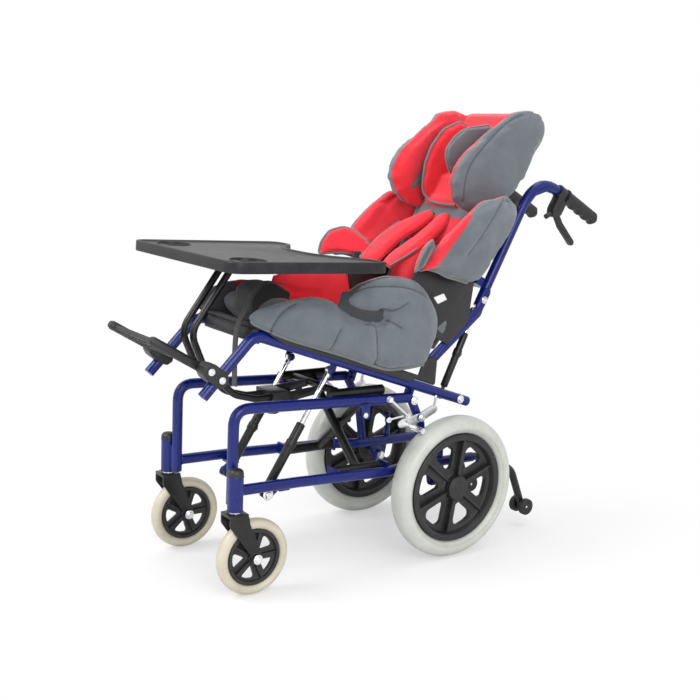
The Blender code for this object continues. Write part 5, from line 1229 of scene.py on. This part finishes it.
flaps = [slab(traced(on_back, x, flap), 0.006) for x, flap in ((FAR_X, FAR_FLAP), (NEAR_X, NEAR_FLAP))]
floor_and_back = slab(traced(on_back, -0.004, LINER_FLOOR), 0.056)
liner = stuff(joined([floor_and_back, *flaps]), **SMALL_PAD)
places = spots_of(liner)
height, _ = back_lines(places)
outer_side = ((places[:, 0] > NEAR_X - 0.004) | (places[:, 0] < FAR_X + 0.004)) & (height > 0.364)
note(liner, "facing", np.where(outer_side, toward_middle(liner), 1.0))
note(liner, "crease", np.zeros(len(places)))
padded_piece(liner, "head_liner", "headrest", "", "red_fabric")
lip = traced(on_back, FAR_X, ((0.556, 0.050), *FAR_FLAP[:6])) + [on_back(*spot) for spot in LIP_FRONT]
cords = piping(liner, curve_through(lip, False), 0.0030, 0.014)
cords += piping(liner, curve_through(traced(on_back, NEAR_X, NEAR_FLAP[:7]), False), 0.0028, 0.014)
trim(cords, "head_liner_piping", "headrest")
print("liner has", len(liner.data.polygons), "faces")

# %% [markdown]
# The seat and back cushions are boxes of foam. Their tops are red, and grey panels cover the
# seat's front and the back's top and edges. Both are sewn across in shallow channels, which
# is what keeps the foam from sliding in its cover.

# %% Seat and back cushions
def channels(piece, place, across, along, height):
    """Sews a shallow channel across the cushion at each place along it."""
    for s in along:
        sew(piece, curve_through([place(x, s, height) for x in across], False), 0.004, 0.008)


seat = stuff(copy_of("seat_cushion"))
spots = spots_of(seat)
spots[:, 0] *= 1 - 0.30 * toward_front(spots)
move_to(seat, spots)
channels(seat, on_seat, (-0.11, -0.05, 0, 0.05, 0.11), (-0.33, -0.25, -0.17), 0.12)
length, _ = seat_lines(spots_of(seat))
note(seat, "facing", past(length + 0.352))
padded_piece(seat, "seat_cushion_pad", "seat", "seat_cushion", "red_fabric")
front_cord = [on_seat(x, -0.404, 0.044) for x in (-0.086, -0.05, 0.0, 0.05, 0.086)]
trim(piping(seat, curve_through(front_cord, False), 0.0030, 0.02), "seat_front_piping", "seat")

YOKE = ((0.056, 0.002), (0.056, 0.044), (0.392, 0.048), (0.400, 0.004))
rest = stuff(joined([copy_of("back_cushion"), slab(traced(on_back, 0, YOKE), 0.124)]))
channels(rest, on_back, (-0.09, -0.04, 0, 0.04, 0.09), (0.15, 0.25), 0.07)
places = spots_of(rest)
height, _ = back_lines(places)
plain = np.minimum(0.314 - height, 0.088 - np.abs(places[:, 0]))
note(rest, "facing", past(plain))
padded_piece(rest, "back_cushion_pad", "back", "back_cushion", "red_fabric")
print("seat and back cushions sewn")

# %% [markdown]
# A padded shoulder strap is a flat band: a narrow rounded section carried along a line and
# skinned. The same recipe without the padding makes a webbing belt. One function does both,
# with half widths given at a few places and worked out for the points in between.

# %% Shoulder pads
BAND_CORNERS, BELT_THICK = 16, 0.0012


def squarer(value):
    """Moves a sine toward its ends, which makes a round section nearly a flat one."""
    return math.copysign(abs(value) ** 0.6, value)


def skin_through(loops):
    """One skin through loops of the same number of points, closed at both ends."""
    piece = ring_of(loops[0])
    pick(piece)
    bpy.ops.object.mode_set(mode="EDIT")
    bpy.ops.mesh.select_mode(type="VERT")
    bpy.ops.mesh.select_all(action="SELECT")
    for loop, last in zip(loops[1:], loops):
        bpy.ops.mesh.extrude_region_move()
        bpy.ops.object.mode_set(mode="OBJECT")
        fresh = [v for v in piece.data.vertices if v.select]
        for corner in fresh:
            corner.co = loop[min(range(len(last)), key=lambda i: (last[i] - corner.co).length_squared)]
        bpy.ops.object.mode_set(mode="EDIT")
    bpy.ops.mesh.edge_face_add()
    bpy.ops.object.mode_set(mode="OBJECT")
    first = set(range(len(loops[0])))
    for corner in piece.data.vertices:
        corner.select = corner.index in first
    bpy.ops.object.mode_set(mode="EDIT")
    bpy.ops.mesh.edge_face_add()
    bpy.ops.object.mode_set(mode="OBJECT")
    return edited(piece, outward)


def width_at(half_widths, i, line):
    """The half width at the line's point i, between those that are given."""
    share = i / (len(line) - 1) * (len(half_widths) - 1)
    low = min(int(share), len(half_widths) - 2)
    return half_widths[low] + (half_widths[low + 1] - half_widths[low]) * (share - low)


def flat_band(line, across, half_widths, half_thick):
    """A flat band along the line. across is the direction of its width."""
    turns = [math.tau * k / BAND_CORNERS for k in range(BAND_CORNERS)]
    section = [(squarer(math.cos(a)), squarer(math.sin(a))) for a in turns]
    loops = []
    for i, spot in enumerate(line):
        run = (line[min(i + 1, len(line) - 1)] - line[max(i - 1, 0)]).normalized()
        flat = (Vector(across) - run * run.dot(Vector(across))).normalized()
        up = run.cross(flat)
        width = width_at(half_widths, i, line)
        loops.append([spot + flat * (width * w) + up * (half_thick * h) for w, h in section])
    return skin_through(loops)


FAR_STRAP = ((-0.024, 0.322, 0.058), (-0.050, 0.290, 0.069), (-0.076, 0.256, 0.083), (-0.086, 0.216, 0.101),
             (-0.085, 0.172, 0.120), (-0.086, 0.150, 0.130))
NEAR_STRAP = ((0.022, 0.322, 0.058), (0.023, 0.290, 0.068), (0.016, 0.250, 0.082), (0.009, 0.212, 0.100),
              (0.000, 0.176, 0.120), (-0.004, 0.154, 0.130))


def shoulder_pad(name, points, half_widths, corded=1, cord_start=8):
    line = curve_through([on_back(*p) for p in points], False, 5)
    run = (line[-1] - line[0]).normalized()
    across = run.cross(FORWARD).normalized()
    pad = stuff(flat_band(line, across, half_widths, 0.0085), **SMALL_PAD)
    note(pad, "facing", np.ones(len(pad.data.vertices)))
    note(pad, "crease", np.zeros(len(pad.data.vertices)))
    padded_piece(pad, name, "back", "", "red_fabric")
    edge = []
    for i, spot in enumerate(line[cord_start:-1], cord_start):
        width = width_at(half_widths, i, line)
        edge.append(spot + across * (corded * (width - 0.003)) + FORWARD * 0.006)
    trim(piping(pad, edge, 0.0028, 0.012), f"{name}_piping", "back")
    hidden_end = line[0] - (line[3] - line[0]).normalized() * 0.022 - FORWARD * 0.004
    stub = flat_band([hidden_end, line[0] - FORWARD * 0.002, line[3]], across, (0.011, 0.011), BELT_THICK)
    settle(stub, f"{name}_belt", "back", webbing, "black_plastic", smooth=50)


shoulder_pad("far_shoulder_pad", FAR_STRAP, (0.015, 0.028, 0.034, 0.035, 0.033, 0.022))
shoulder_pad("near_shoulder_pad", NEAR_STRAP, (0.014, 0.024, 0.029, 0.030, 0.028, 0.019), -1, 14)
print("two shoulder pads, each with its belt")

# %% [markdown]
# A black pommel sits at the front of the seat between the knees, and a belt runs over it and
# hangs down in front. Plates of black plastic cover the seat's front and the upper part of
# each seat rail, and a dark gusset closes the side of the back below its wing.

# %% Pommel, belt, cover plates and gussets
POMMEL = ((0.034, 0.540), (0.038, 0.585), (0.058, 0.601), (0.090, 0.602), (0.128, 0.582), (0.124, 0.548),
          (0.080, 0.532))
HANGING_BELT = ((0.100, 0.600), (0.062, 0.607), (0.034, 0.588), (0.014, 0.552), (-0.002, 0.518), (-0.006, 0.470),
                (-0.0046, 0.403))
RAIL_COVER = ((-0.398, 0.050), (-0.030, 0.052), (-0.022, 0.044), (-0.030, 0.035), (-0.360, 0.032), (-0.398, 0.041))
GUSSET = ((0.212, -0.010), (0.202, 0.080), (0.168, 0.148), (0.122, 0.140), (0.072, 0.102), (0.050, 0.050),
          (0.050, -0.020), (0.120, -0.045))
TAB = ((0.4212, 0.5717), (0.4478, 0.5791), (0.4570, 0.5659), (0.4331, 0.5578))
FRONT_COVER = ((-0.390, 0.047), (-0.407, 0.044), (-0.411, 0.030), (-0.408, 0.017), (-0.396, 0.016))
POMMEL_X, HANGING_BELT_X, RAIL_COVER_X, GUSSET_X, TAB_X = 0.018, 0.068, 0.1326, 0.1165, 0.1475

front_cover = plate(traced(on_seat, 0, FRONT_COVER), 0.104, 0.0012)
settle(front_cover, "front_cover", "seat", nylon, "black_plastic")
pommel = stuff(slab(traced(at, POMMEL_X, POMMEL), 0.040), shrink=0.001, cap=0.006)
settle(pommel, "pommel", "seat", webbing, "black_plastic", smooth=60)
belt_line = curve_through(traced(at, HANGING_BELT_X, HANGING_BELT), False, 5)
belt = flat_band(belt_line, (1, 0, 0), (0.010, 0.010), BELT_THICK)
settle(belt, "hanging_belt", "seat", webbing, "black_plastic", smooth=50)
for side, tag in SIDES:
    cover = plate(traced(on_seat, side * RAIL_COVER_X, RAIL_COVER), 0.0014, 0.0006)
    settle(cover, f"rail_cover_{tag}", "seat", nylon, "black_plastic")
    gusset = plate(traced(on_back, side * GUSSET_X, GUSSET), 0.0028, 0.0012, 30)
    settle(gusset, f"side_gusset_{tag}", "back", nylon, "black_plastic", smooth=50)
tab = plate(traced(at, TAB_X, TAB), 0.0012, 0.0006)
settle(tab, "blank_tab", "seat", tab_cloth, "grey_fabric", smooth=50)
print("pommel, belt, covers, gussets and tab placed")

# %% [markdown]
# Many fittings already have the right shape: plates, jaws and brackets. What gives a loaded
# part away is its razor sharp edges, which no pressing or moulding has. So a copy gets its
# flat faces merged and its edges bevelled, which is what a file or a mould's radius does.

# %% Fittings with softened edges
TAIL_TUBE = ((0.565, 0.1906), (0.650, 0.189), (0.728, 0.140), (0.768, 0.049))


def dress(node, body, finish, slot, width, angle=35):
    piece = edited(copy_of(node), lambda: bpy.ops.mesh.dissolve_limited(angle_limit=math.radians(2)))
    settle(soften(piece, width, angle), f"dressed_{node}", body, finish, slot, node)


dress("seat_pan", "seat", nylon, "black_plastic", 0.0012)
dress("back_shell", "back", nylon, "black_plastic", 0.0018, 30)
dress("headrest_stem", "headrest", satin_steel, "black_steel", 0.0012)
dress("tray_clamp", "base", satin_steel, "black_steel", 0.0012)
dress("footplate_board", "footplate", nylon, "black_plastic", 0.0012)
for side, tag in SIDES:
    dress(f"footplate_clamp_{tag}", "seat", nylon, "black_plastic", 0.0018)
    dress(f"caster_fork_{tag}_plate", f"caster_fork_{tag}", satin_steel, "black_plastic", 0.0012)
    dress(f"brake_arm_{tag}_plate", f"brake_arm_{tag}", zinc, "white_zinc", 0.0005)
    dress(f"lever_housing_{tag}", "back", nylon, "black_plastic", 0.0012)
    dress(f"brake_lever_{tag}_blade", f"brake_lever_{tag}", nylon, "black_plastic", 0.0018)
    dress(f"rear_axle_{tag}", "base", chrome, "chrome", 0.0006)
    tail = rounded(traced(at, side * TAIL_X, TAIL_TUBE), 0.045)
    stub = rounder(f"anti_tip_tube_{tag}", [(tail, 0.0088)])
    settle(stub, f"dressed_anti_tip_tube_{tag}", "base", satin_steel, "black_steel", f"anti_tip_tube_{tag}")
print("plates, jaws and brackets are dressed")

# %% [markdown]
# Bolts are what the eye looks for on a frame, because they shine. Each is a washer and a
# hexagon head with a dimple, all turned on the lathe, the head with only six steps. Bolts
# that stand together on one body are joined into one piece that rides with it.

# %% Bright bolts
def bolt(spot, out, radius, tall, corners=6):
    rim = radius * 1.42
    washer = turned([(0, -0.0004), (rim, -0.0004), (rim, 0.0008), (rim * 0.94, 0.0012), (0, 0.0012)], spot, out, 32)
    head = turned([(0, 0.001), (radius, 0.001), (radius, tall * 0.82), (radius * 0.84, tall), (radius * 0.46, tall),
                   (radius * 0.40, tall * 0.8), (0, tall * 0.8)], spot, out, corners)
    return joined([washer, soften(head, 0.0003, 20)])


def screw(spot, out, radius=0.0036):
    """A small dark cross-head screw that holds nothing but a plug."""
    return turned([(0, -0.001), (radius, -0.001), (radius, 0.0004), (radius * 0.8, 0.0012), (radius * 0.35, 0.0015),
                   (radius * 0.3, 0.0009), (0, 0.0009)], spot, out, 20)


FRAME_BOLTS = ((0.1345, TILT_PIVOT, 0.0068, 0.0050), (0.1402, (0.415, 0.311), 0.0062, 0.0046),
               (0.1320, (0.330, 0.3577), 0.0048, 0.0040), (0.0936, (0.065, 0.176), 0.0082, 0.0056))
CLAMP_BOLTS = ((-0.092, 0.451), (-0.069, 0.433))
HANGER_PLUGS = ((-0.062, 0.4455), (-0.0935, 0.4078))
STEM_NUT = [(0.0060, 0.1702), (0.0122, 0.1702), (0.0126, 0.1712), (0.0126, 0.1754), (0.0122, 0.1764),
            (0.0060, 0.1764)]

for side, tag in SIDES:
    out = (side, 0, 0)
    frame_bolts = [bolt(at(side * x, *spot), out, radius, tall) for x, spot, radius, tall in FRAME_BOLTS]
    settle(joined(frame_bolts), f"frame_bolts_{tag}", "base", chrome, "chrome", smooth=30)
    settle(bolt(on_seat(side * 0.1325, 0.1265, RAIL_T), out, 0.0064, 0.0046), f"rail_bolt_{tag}", "seat", chrome,
           "chrome", smooth=30)
    clamp_bolts = [bolt(spot, out, 0.0050, 0.0040) for spot in traced(at, side * 0.1375, CLAMP_BOLTS)]
    settle(joined(clamp_bolts), f"clamp_bolts_{tag}", "seat", chrome, "chrome", smooth=30)
    settle(bolt(on_back(side * 0.1132, 0.180, -0.069), out, 0.0058, 0.0044), f"back_bolt_{tag}", "back", chrome,
           "chrome", smooth=30)
    fork_bolts = [bolt(at(side * 0.1718, 0.0, CASTER_R), out, 0.0070, 0.0046),
                  bolt(at(side * 0.1242, 0.0, CASTER_R), (-side, 0, 0), 0.0070, 0.0046)]
    fork_bolts.append(turned(STEM_NUT, at(side * HOUSING_X, STEM_Y, 0.0), (0, 0, 1), 40))
    settle(joined(fork_bolts), f"fork_bolts_{tag}", f"caster_fork_{tag}", chrome, "chrome", smooth=30)
    plugs = [screw(spot, out) for spot in traced(at, side * 0.1306, HANGER_PLUGS)]
    settle(joined(plugs), f"hanger_plugs_{tag}", "seat", satin_steel, "black_steel")
print("bolts fitted on both sides")

# %% [markdown]
# The caster housing is closed by a domed black cap, and the anti-tip roller is two small
# wheels on one axle, one on each side of the tube. These are lathe work from start to end.

# %% Caps, small rollers and the brake's roller
CAP_DOME = [(0, 0.2618), (0.0060, 0.2614), (0.0110, 0.2597), (0.0143, 0.2565), (0.0155, 0.2520), (0.0155, 0.2464),
            (0, 0.2464)]
ROLLER_HALF = [(0.0040, 0.0093), (0.0070, 0.0093), (0.0150, 0.0096), (0.0185, 0.0100), (0.0195, 0.0112),
               (0.0195, 0.0202), (0.0185, 0.0213), (0.0135, 0.0213), (0.0125, 0.0202), (0.0085, 0.0202),
               (0.0078, 0.0213), (0.0040, 0.0213)]
SMALL_ROLLER = [(0.0045, 0.1370), (0.0045, 0.1400), (0.0065, 0.1420), (0.0065, 0.1500), (0.0060, 0.1504),
                (0.0060, 0.1512), (0.0065, 0.1516), (0.0065, 0.1745), (0.0058, 0.1765), (0.0038, 0.1765),
                (0.0034, 0.1780), (0, 0.1780), (0, 0.1370)]
ROLLER_AXLE = [(0, -0.0150), (0.0040, -0.0150), (0.0040, 0.0150), (0, 0.0150)]

for side, tag in SIDES:
    settle(turned(CAP_DOME, at(side * HOUSING_X, STEM_Y, 0.0), (0, 0, 1), 48), f"domed_caster_cap_{tag}", "base",
           nylon, "black_plastic", f"caster_cap_{tag}")
    axle = at(side * TAIL_X, *TAIL_TUBE[-1])
    pair = [turned(ROLLER_HALF, axle, (way, 0, 0), 48) for way in (-1, 1)]
    pair.append(turned(ROLLER_AXLE, axle, steps=20))
    settle(joined(pair), f"rear_rollers_{tag}", f"anti_tip_wheel_{tag}", rubber_black, "black_plastic",
           f"anti_tip_wheels_{tag}")
    pins = [bolt(axle + Vector((way * 0.0150, 0, 0)), (way, 0, 0), 0.0042, 0.0050) for way in (-1, 1)]
    settle(joined(pins), f"roller_bolts_{tag}", f"anti_tip_wheel_{tag}", chrome, "chrome", smooth=30)
    low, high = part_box(f"brake_roller_{tag}")
    middle, height = (low[1] + high[1]) / 2, (low[2] + high[2]) / 2
    settle(turned(SMALL_ROLLER, Vector((0, middle, height)), (side, 0, 0), 40), f"turned_brake_roller_{tag}",
           f"brake_arm_{tag}", chrome, "chrome", f"brake_roller_{tag}")
print("caps and rollers turned")

# %% [markdown]
# A gas strut is a black tube with a polished rod that slides in it, and an eye on either end.
# The rod belongs to one body and the tube to another, so they are two pieces, and the rod
# runs well down inside the tube. A collar with a valve sits near the tube's upper end.

# %% Gas struts
TILT_STRUT_X, RECLINE_STRUT_X, ROD_INSIDE = 0.078, 0.0965, 0.085


def strut_eye(spot, radius=0.0095, half=0.0047):
    return turned([(0.0042, -half), (radius - 0.001, -half), (radius, -half + 0.001), (radius, half - 0.001),
                   (radius - 0.001, half), (0.0042, half)], spot, (1, 0, 0), 32)


def gas_strut(kind, tag, foot, head, radius, reach, valve):
    along = (head - foot).normalized()
    sleeve = [(0, 0.010), (0.0042, 0.010), (0.0042, 0.0185), (radius - 0.0012, 0.0195), (radius, 0.0215),
              (radius, reach - 0.046), (radius - 0.0008, reach - 0.0455), (radius - 0.0008, reach - 0.0445),
              (radius, reach - 0.044), (radius, reach - 0.003), (radius - 0.0014, reach), (0.0056, reach),
              (0.0056, reach - 0.004), (0, reach - 0.004)]
    case = [turned(sleeve, foot, along, 40), strut_eye(foot)]
    collar = foot + along * valve
    case.append(turned([(radius - 0.001, -0.008), (radius + 0.0012, -0.008), (radius + 0.0016, -0.007),
                        (radius + 0.0016, 0.007), (radius + 0.0012, 0.008), (radius - 0.001, 0.008)],
                       collar, along, 40))
    down = Vector((1, 0, 0)).cross(along)
    case.append(turned([(0, 0), (0.0042, 0), (0.0042, radius + 0.0030), (0.0030, radius + 0.0040),
                        (0, radius + 0.0040)], collar, down if down.z < 0 else -down, 24))
    settle(joined(case), f"gas_strut_case_{kind}_{tag}", f"{kind}_cylinder_{tag}", satin_steel, "black_steel",
           f"{kind}_cylinder_{tag}_case")
    span = (head - foot).length
    inside = reach - ROD_INSIDE
    shaft = [(0, inside), (0.0048, inside + 0.001), (0.0051, inside + 0.002), (0.0051, span - 0.020),
             (0.0040, span - 0.019), (0.0040, span - 0.0165), (0.0062, span - 0.0160), (0.0062, span - 0.0095),
             (0.0050, span - 0.008), (0, span - 0.008)]
    rod = [turned(shaft, foot, along, 40), strut_eye(head, 0.0093)]
    settle(joined(rod), f"gas_strut_rod_{kind}_{tag}", f"{kind}_rod_{tag}", chrome, "chrome",
           f"{kind}_rod_{tag}_shaft")


for side, tag in SIDES:
    x = side * TILT_STRUT_X
    gas_strut("tilt", tag, at(x, 0.065, 0.176), on_seat(x, -0.1967, 0.008), 0.0095, 0.160, 0.112)
    x = side * RECLINE_STRUT_X
    gas_strut("recline", tag, on_seat(x, 0.0971, 0.0283), on_back(x, 0.150, -0.068), 0.0082, 0.148, 0.100)
print("four gas struts turned")

# %% [markdown]
# A short plated link holds the brake arm on its lug, with a flattened eye on either end. A
# second rod reaches forward from the arm, and a thin pull rod comes down to it from above. A
# small blue lug with a bolt hangs under each upper rail. Rods and lugs like these fill the
# space over the rear wheel on the real chair.

# %% Brake links
LINK_ENDS = ((0.3298, 0.3577), (0.3775, 0.3182))
REACH_ROD = ((0.3273, 0.3148), (0.3640, 0.3196))
PULL_ROD = ((0.4492, 0.3307), (0.4530, 0.3503))
LINK_X, LINK_R = 0.1385, 0.0032
RAIL_LUG = ((0.2610, 0.3540), (0.2807, 0.3540), (0.2815, 0.3250), (0.2760, 0.3205), (0.2650, 0.3225))


def link_eye(spot, radius=0.0062):
    return turned([(0, -0.0018), (radius - 0.0006, -0.0018), (radius, -0.0012), (radius, 0.0012),
                   (radius - 0.0006, 0.0018), (0, 0.0018)], spot, (1, 0, 0), 28)


for side, tag in SIDES:
    ends = traced(at, side * LINK_X, LINK_ENDS)
    links = [tube(ends, LINK_R, 8), *(link_eye(end) for end in ends)]
    reach = traced(at, side * LINK_X, REACH_ROD)
    links += [tube(reach, 0.0024, 8), link_eye(reach[0])]
    links.append(tube(traced(at, side * LINK_X, PULL_ROD), 0.0022, 8))
    settle(joined(links), f"brake_links_{tag}", f"brake_arm_{tag}", chrome, "chrome", smooth=30)
    lug = plate(traced(at, side * 0.1325, RAIL_LUG), 0.0016)
    settle(lug, f"rail_lug_{tag}", "base", blue_lacquer, "blue_paint")
    lug_bolt = bolt(at(side * 0.1341, 0.2700, 0.3295), (side, 0, 0), 0.0040, 0.0034)
    settle(lug_bolt, f"rail_lug_bolt_{tag}", "base", chrome, "chrome", smooth=30)
print("brake links and rail lugs placed")

# %% [markdown]
# The grips are soft plastic with four hollows for the fingers on their underside. A round
# bar with many rings is drawn first, and its lower half is then pressed in by a wave that
# runs along the grip. The upper half stays smooth, because the palm lies there.

# %% Push grips
GRIP_START, GRIP_END, GRIP_R = (0.8325, 0.7840), (0.9368, 0.7286), 0.0160
GRIP_STEPS, GRIP_PLAIN, FINGERS = 72, 0.008, 4


def push_grip(side, tag):
    start, end = traced(at, side * TAIL_X, (GRIP_START, GRIP_END))
    along = (end - start).normalized()
    length = (end - start).length
    shares = []
    for i in range(GRIP_STEPS + 1):
        d = i / GRIP_STEPS * length
        lip = 1.12 if d < 0.004 else 1.0
        shares.append(min(lip, 0.55 + (length - d) / 0.010 * 0.45))
    grip = tube([start.lerp(end, i / GRIP_STEPS) for i in range(GRIP_STEPS + 1)], GRIP_R, 10, shares)
    under = Vector((0, along.z, -along.y))
    for corner in grip.data.vertices:
        d = (corner.co - start).dot(along)
        axis = start + along * d
        spoke = corner.co - axis
        low = max(0.0, spoke.normalized().dot(under)) if spoke.length > 1e-6 else 0.0
        if GRIP_PLAIN < d < length - GRIP_PLAIN:
            wave = 0.5 - 0.5 * math.cos(math.tau * FINGERS * (d - GRIP_PLAIN) / (length - 2 * GRIP_PLAIN))
            corner.co = axis + spoke * (1 - 0.17 * low * wave)
    settle(grip, f"ridged_grip_{tag}", "back", rubber_black, "black_plastic", f"hand_grip_{tag}", smooth=50)


for side, tag in SIDES:
    push_grip(side, tag)
print("push grips have four finger hollows each")

# %% [markdown]
# The tray is one vacuum formed shell. Its edge is a stack of outlines that differ a little
# in size and height: down behind the skirt, under it, up the outside, over the rounded lip
# and down to the tray's floor. Extruding one ring of edges again and again, and moving each
# new ring to the next outline, makes that skin. Two round holes are cut in it at the end,
# and a turned bowl fills each.

# %% Tray
TRAY_REAR, TRAY_TOP_Z = 0.252, 0.666


def on_tray(x, y, z):
    """Height z above the tray's top edge, at x across and y along."""
    run = y - TRAY_FRONT
    return at(x, TRAY_FRONT + run * math.cos(TRAY_SLOPE) - z * math.sin(TRAY_SLOPE),
              TRAY_TOP_Z + run * math.sin(TRAY_SLOPE) + z * math.cos(TRAY_SLOPE))


def tray_loop(inset, z, steps=9):
    """The tray's outline at that inset, its corners rounded to suit."""
    front, rear = TRAY_FRONT + inset, TRAY_REAR - inset
    half = [(0.2185 - inset, front, 0.034 - inset), (0.2165 - inset, rear, 0.026 - inset),
            (0.150 + inset * 0.41, rear, 0.040), (0.095 + inset * 0.53, 0.198 - inset * 0.88, 0.060),
            (0.040 + inset * 0.16, 0.180 - inset, 0.080)]
    corners = half + [(-x, y, r) for x, y, r in reversed(half)]
    spots = []
    count = len(corners)
    for i in range(count):
        here = Vector(corners[i][:2])
        before, after = Vector(corners[i - 1][:2]) - here, Vector(corners[(i + 1) % count][:2]) - here
        reach = corners[i][2] * math.tan((math.pi - before.angle(after)) / 2)
        reach = min(reach, before.length * 0.45, after.length * 0.45)
        a, b = here + before.normalized() * reach, here + after.normalized() * reach
        for k in range(steps + 1):
            t = k / steps
            spots.append(a * (1 - t) ** 2 + here * (2 * t * (1 - t)) + b * t ** 2)
    return [on_tray(p.x, p.y, z) for p in spots]


TRAY_STACK = ((0.0060, -0.0092), (0.0060, -0.0205), (0.0052, -0.0218), (0.0012, -0.0220), (0.0003, -0.0212),
              (0.0, -0.0195), (0.0, -0.0036), (0.0006, -0.0014), (0.0022, -0.0002), (0.0044, 0.0), (0.0066, -0.0004),
              (0.0080, -0.0016), (0.0090, -0.0034), (0.0104, -0.0040))
CUP_X, CUP_Y = 0.156, -0.032
DRILL = [(0, 0.01), (0.034, 0.01), (0.034, -0.0140), (0, -0.0140)]
BOWL = [(0, -0.0180), (0.0350, -0.0180), (0.0378, -0.0155), (0.0380, -0.0060), (0.0362, -0.0030), (0.0355, -0.0018),
        (0.0343, -0.0018), (0.0338, -0.0030), (0.0336, -0.0100), (0.0310, -0.0136), (0.0120, -0.0140), (0, -0.0140)]

tray = skin_through([tray_loop(inset, z) for inset, z in TRAY_STACK])
tray_up = (on_tray(0, 0, 1) - on_tray(0, 0, 0)).normalized()
cups = [on_tray(side * CUP_X, CUP_Y, 0) for side, _ in SIDES]
tray = cut_away(tray, joined([turned(DRILL, cup, tray_up) for cup in cups]))
bowls = [turned(BOWL, cup, tray_up) for cup in cups]
settle(joined([tray, *bowls]), "formed_tray", "tray", tray_sheet, "black_plastic", "tray_top", smooth=40)
print("tray skin has", len(TRAY_STACK), "rings")

# %% [markdown]
# The knob under the tray's clamp is a lathe form whose side is then waved into lobes, so
# that fingers can turn it.

# %% Clamp knob
KNOB_HALF = [(0, 0.3450), (0.0065, 0.3450), (0.0070, 0.3400), (0.0085, 0.3375), (0.0130, 0.3360), (0.0146, 0.3335),
             (0.0148, 0.3230), (0.0136, 0.3204), (0.0100, 0.3194), (0, 0.3194)]
KNOB_Y, KNOB_LOBES = 0.125, 6
knob = turned(KNOB_HALF, at(0, KNOB_Y, 0), (0, 0, 1), 60)
for corner in knob.data.vertices:
    spoke = corner.co - at(0, KNOB_Y, corner.co.z)
    if spoke.length > 0.0095:
        hollow = 0.5 - 0.5 * math.cos(KNOB_LOBES * math.atan2(spoke.y, spoke.x))
        corner.co -= spoke * 0.14 * hollow
settle(knob, "lobed_knob", "tray_knob", nylon, "black_plastic", "tray_clamp_knob", smooth=50)
print("knob has", KNOB_LOBES, "lobes")

# %% [markdown]
# The studio is a pale floor that meets no wall: the world behind it is white for the camera,
# and for mirror-like reflections too, so that chrome and lacquer show a bright room. Three
# large soft lamps, one in front, one at the side and one above, light the chair at a plain
# level. The floor fades to white away from the chair and keeps its shadow.

# %% Floor, backdrop and lamps
FADE_START, FADE_RATE, FADE_NEAR = 0.55, 1.4, 0.42
LAMPS = (("key_lamp", (-0.6, -2.4, 2.6), 1.6, 64.0), ("side_lamp", (2.7, -0.9, 1.7), 1.8, 44.0),
         ("top_lamp", (0.0, 0.3, 3.2), 2.4, 34.0))
LAMP_AIM = Vector((0, 0, 0.4))


def make_floor():
    calm()
    bpy.ops.mesh.primitive_plane_add(size=14.0, location=(0, 0, 0))
    floor = bpy.context.object
    floor.name = "pale_floor"
    paper = Finish("pale_floor", Roughness=0.85)
    tone = paper.grain(3.0, 4.0, 0.5)
    paper.set(Base_Color=paper.blend(tone, (0.80, 0.80, 0.80), (0.84, 0.84, 0.84)))
    away = paper.add("ShaderNodeVectorMath", {"operation": "LENGTH"}, {0: paper.place}, 1)
    fade = ((away - FADE_START) * FADE_RATE).at_least(0.0)
    output = paper.tree.nodes["Material Output"]
    glow = paper.add("ShaderNodeEmission", None, {"Color": (1.0, 1.0, 1.0), "Strength": 1.0})
    rays = paper.add("ShaderNodeLightPath", None, None, "Is Camera Ray")
    share = (rays * (fade + FADE_NEAR)).at_most(rays)
    gone = paper.add("ShaderNodeMixShader", None, {0: share, 1: Wire(paper, paper.shader.outputs[0]), 2: glow})
    paper.tree.links.new(gone.socket, output.inputs["Surface"])
    floor.data.materials.append(paper.material)


def make_world():
    world = bpy.data.worlds.new("white_room")
    world.use_nodes = True
    bpy.context.scene.world = world
    nodes, links = world.node_tree.nodes, world.node_tree.links
    rays = nodes.new("ShaderNodeLightPath")
    either = nodes.new("ShaderNodeMath")
    either.operation = "MAXIMUM"
    links.new(rays.outputs["Is Camera Ray"], either.inputs[0])
    links.new(rays.outputs["Is Glossy Ray"], either.inputs[1])
    level = nodes.new("ShaderNodeMapRange")
    level.inputs["To Min"].default_value = 0.72
    level.inputs["To Max"].default_value = 1.0
    links.new(either.outputs[0], level.inputs["Value"])
    links.new(level.outputs[0], nodes["Background"].inputs["Strength"])
    nodes["Background"].inputs["Color"].default_value = (1, 1, 1, 1)


def lamp(name, place, size, power):
    bpy.ops.object.light_add(type="AREA", location=place)
    light = bpy.context.object
    light.name = name
    light.data.size = size
    light.data.energy = power
    light.rotation_euler = (LAMP_AIM - Vector(place)).to_track_quat("-Z", "Y").to_euler()


make_floor()
make_world()
for lamp_facts in LAMPS:
    lamp(*lamp_facts)
print("stage set with", len(LAMPS), "lamps")
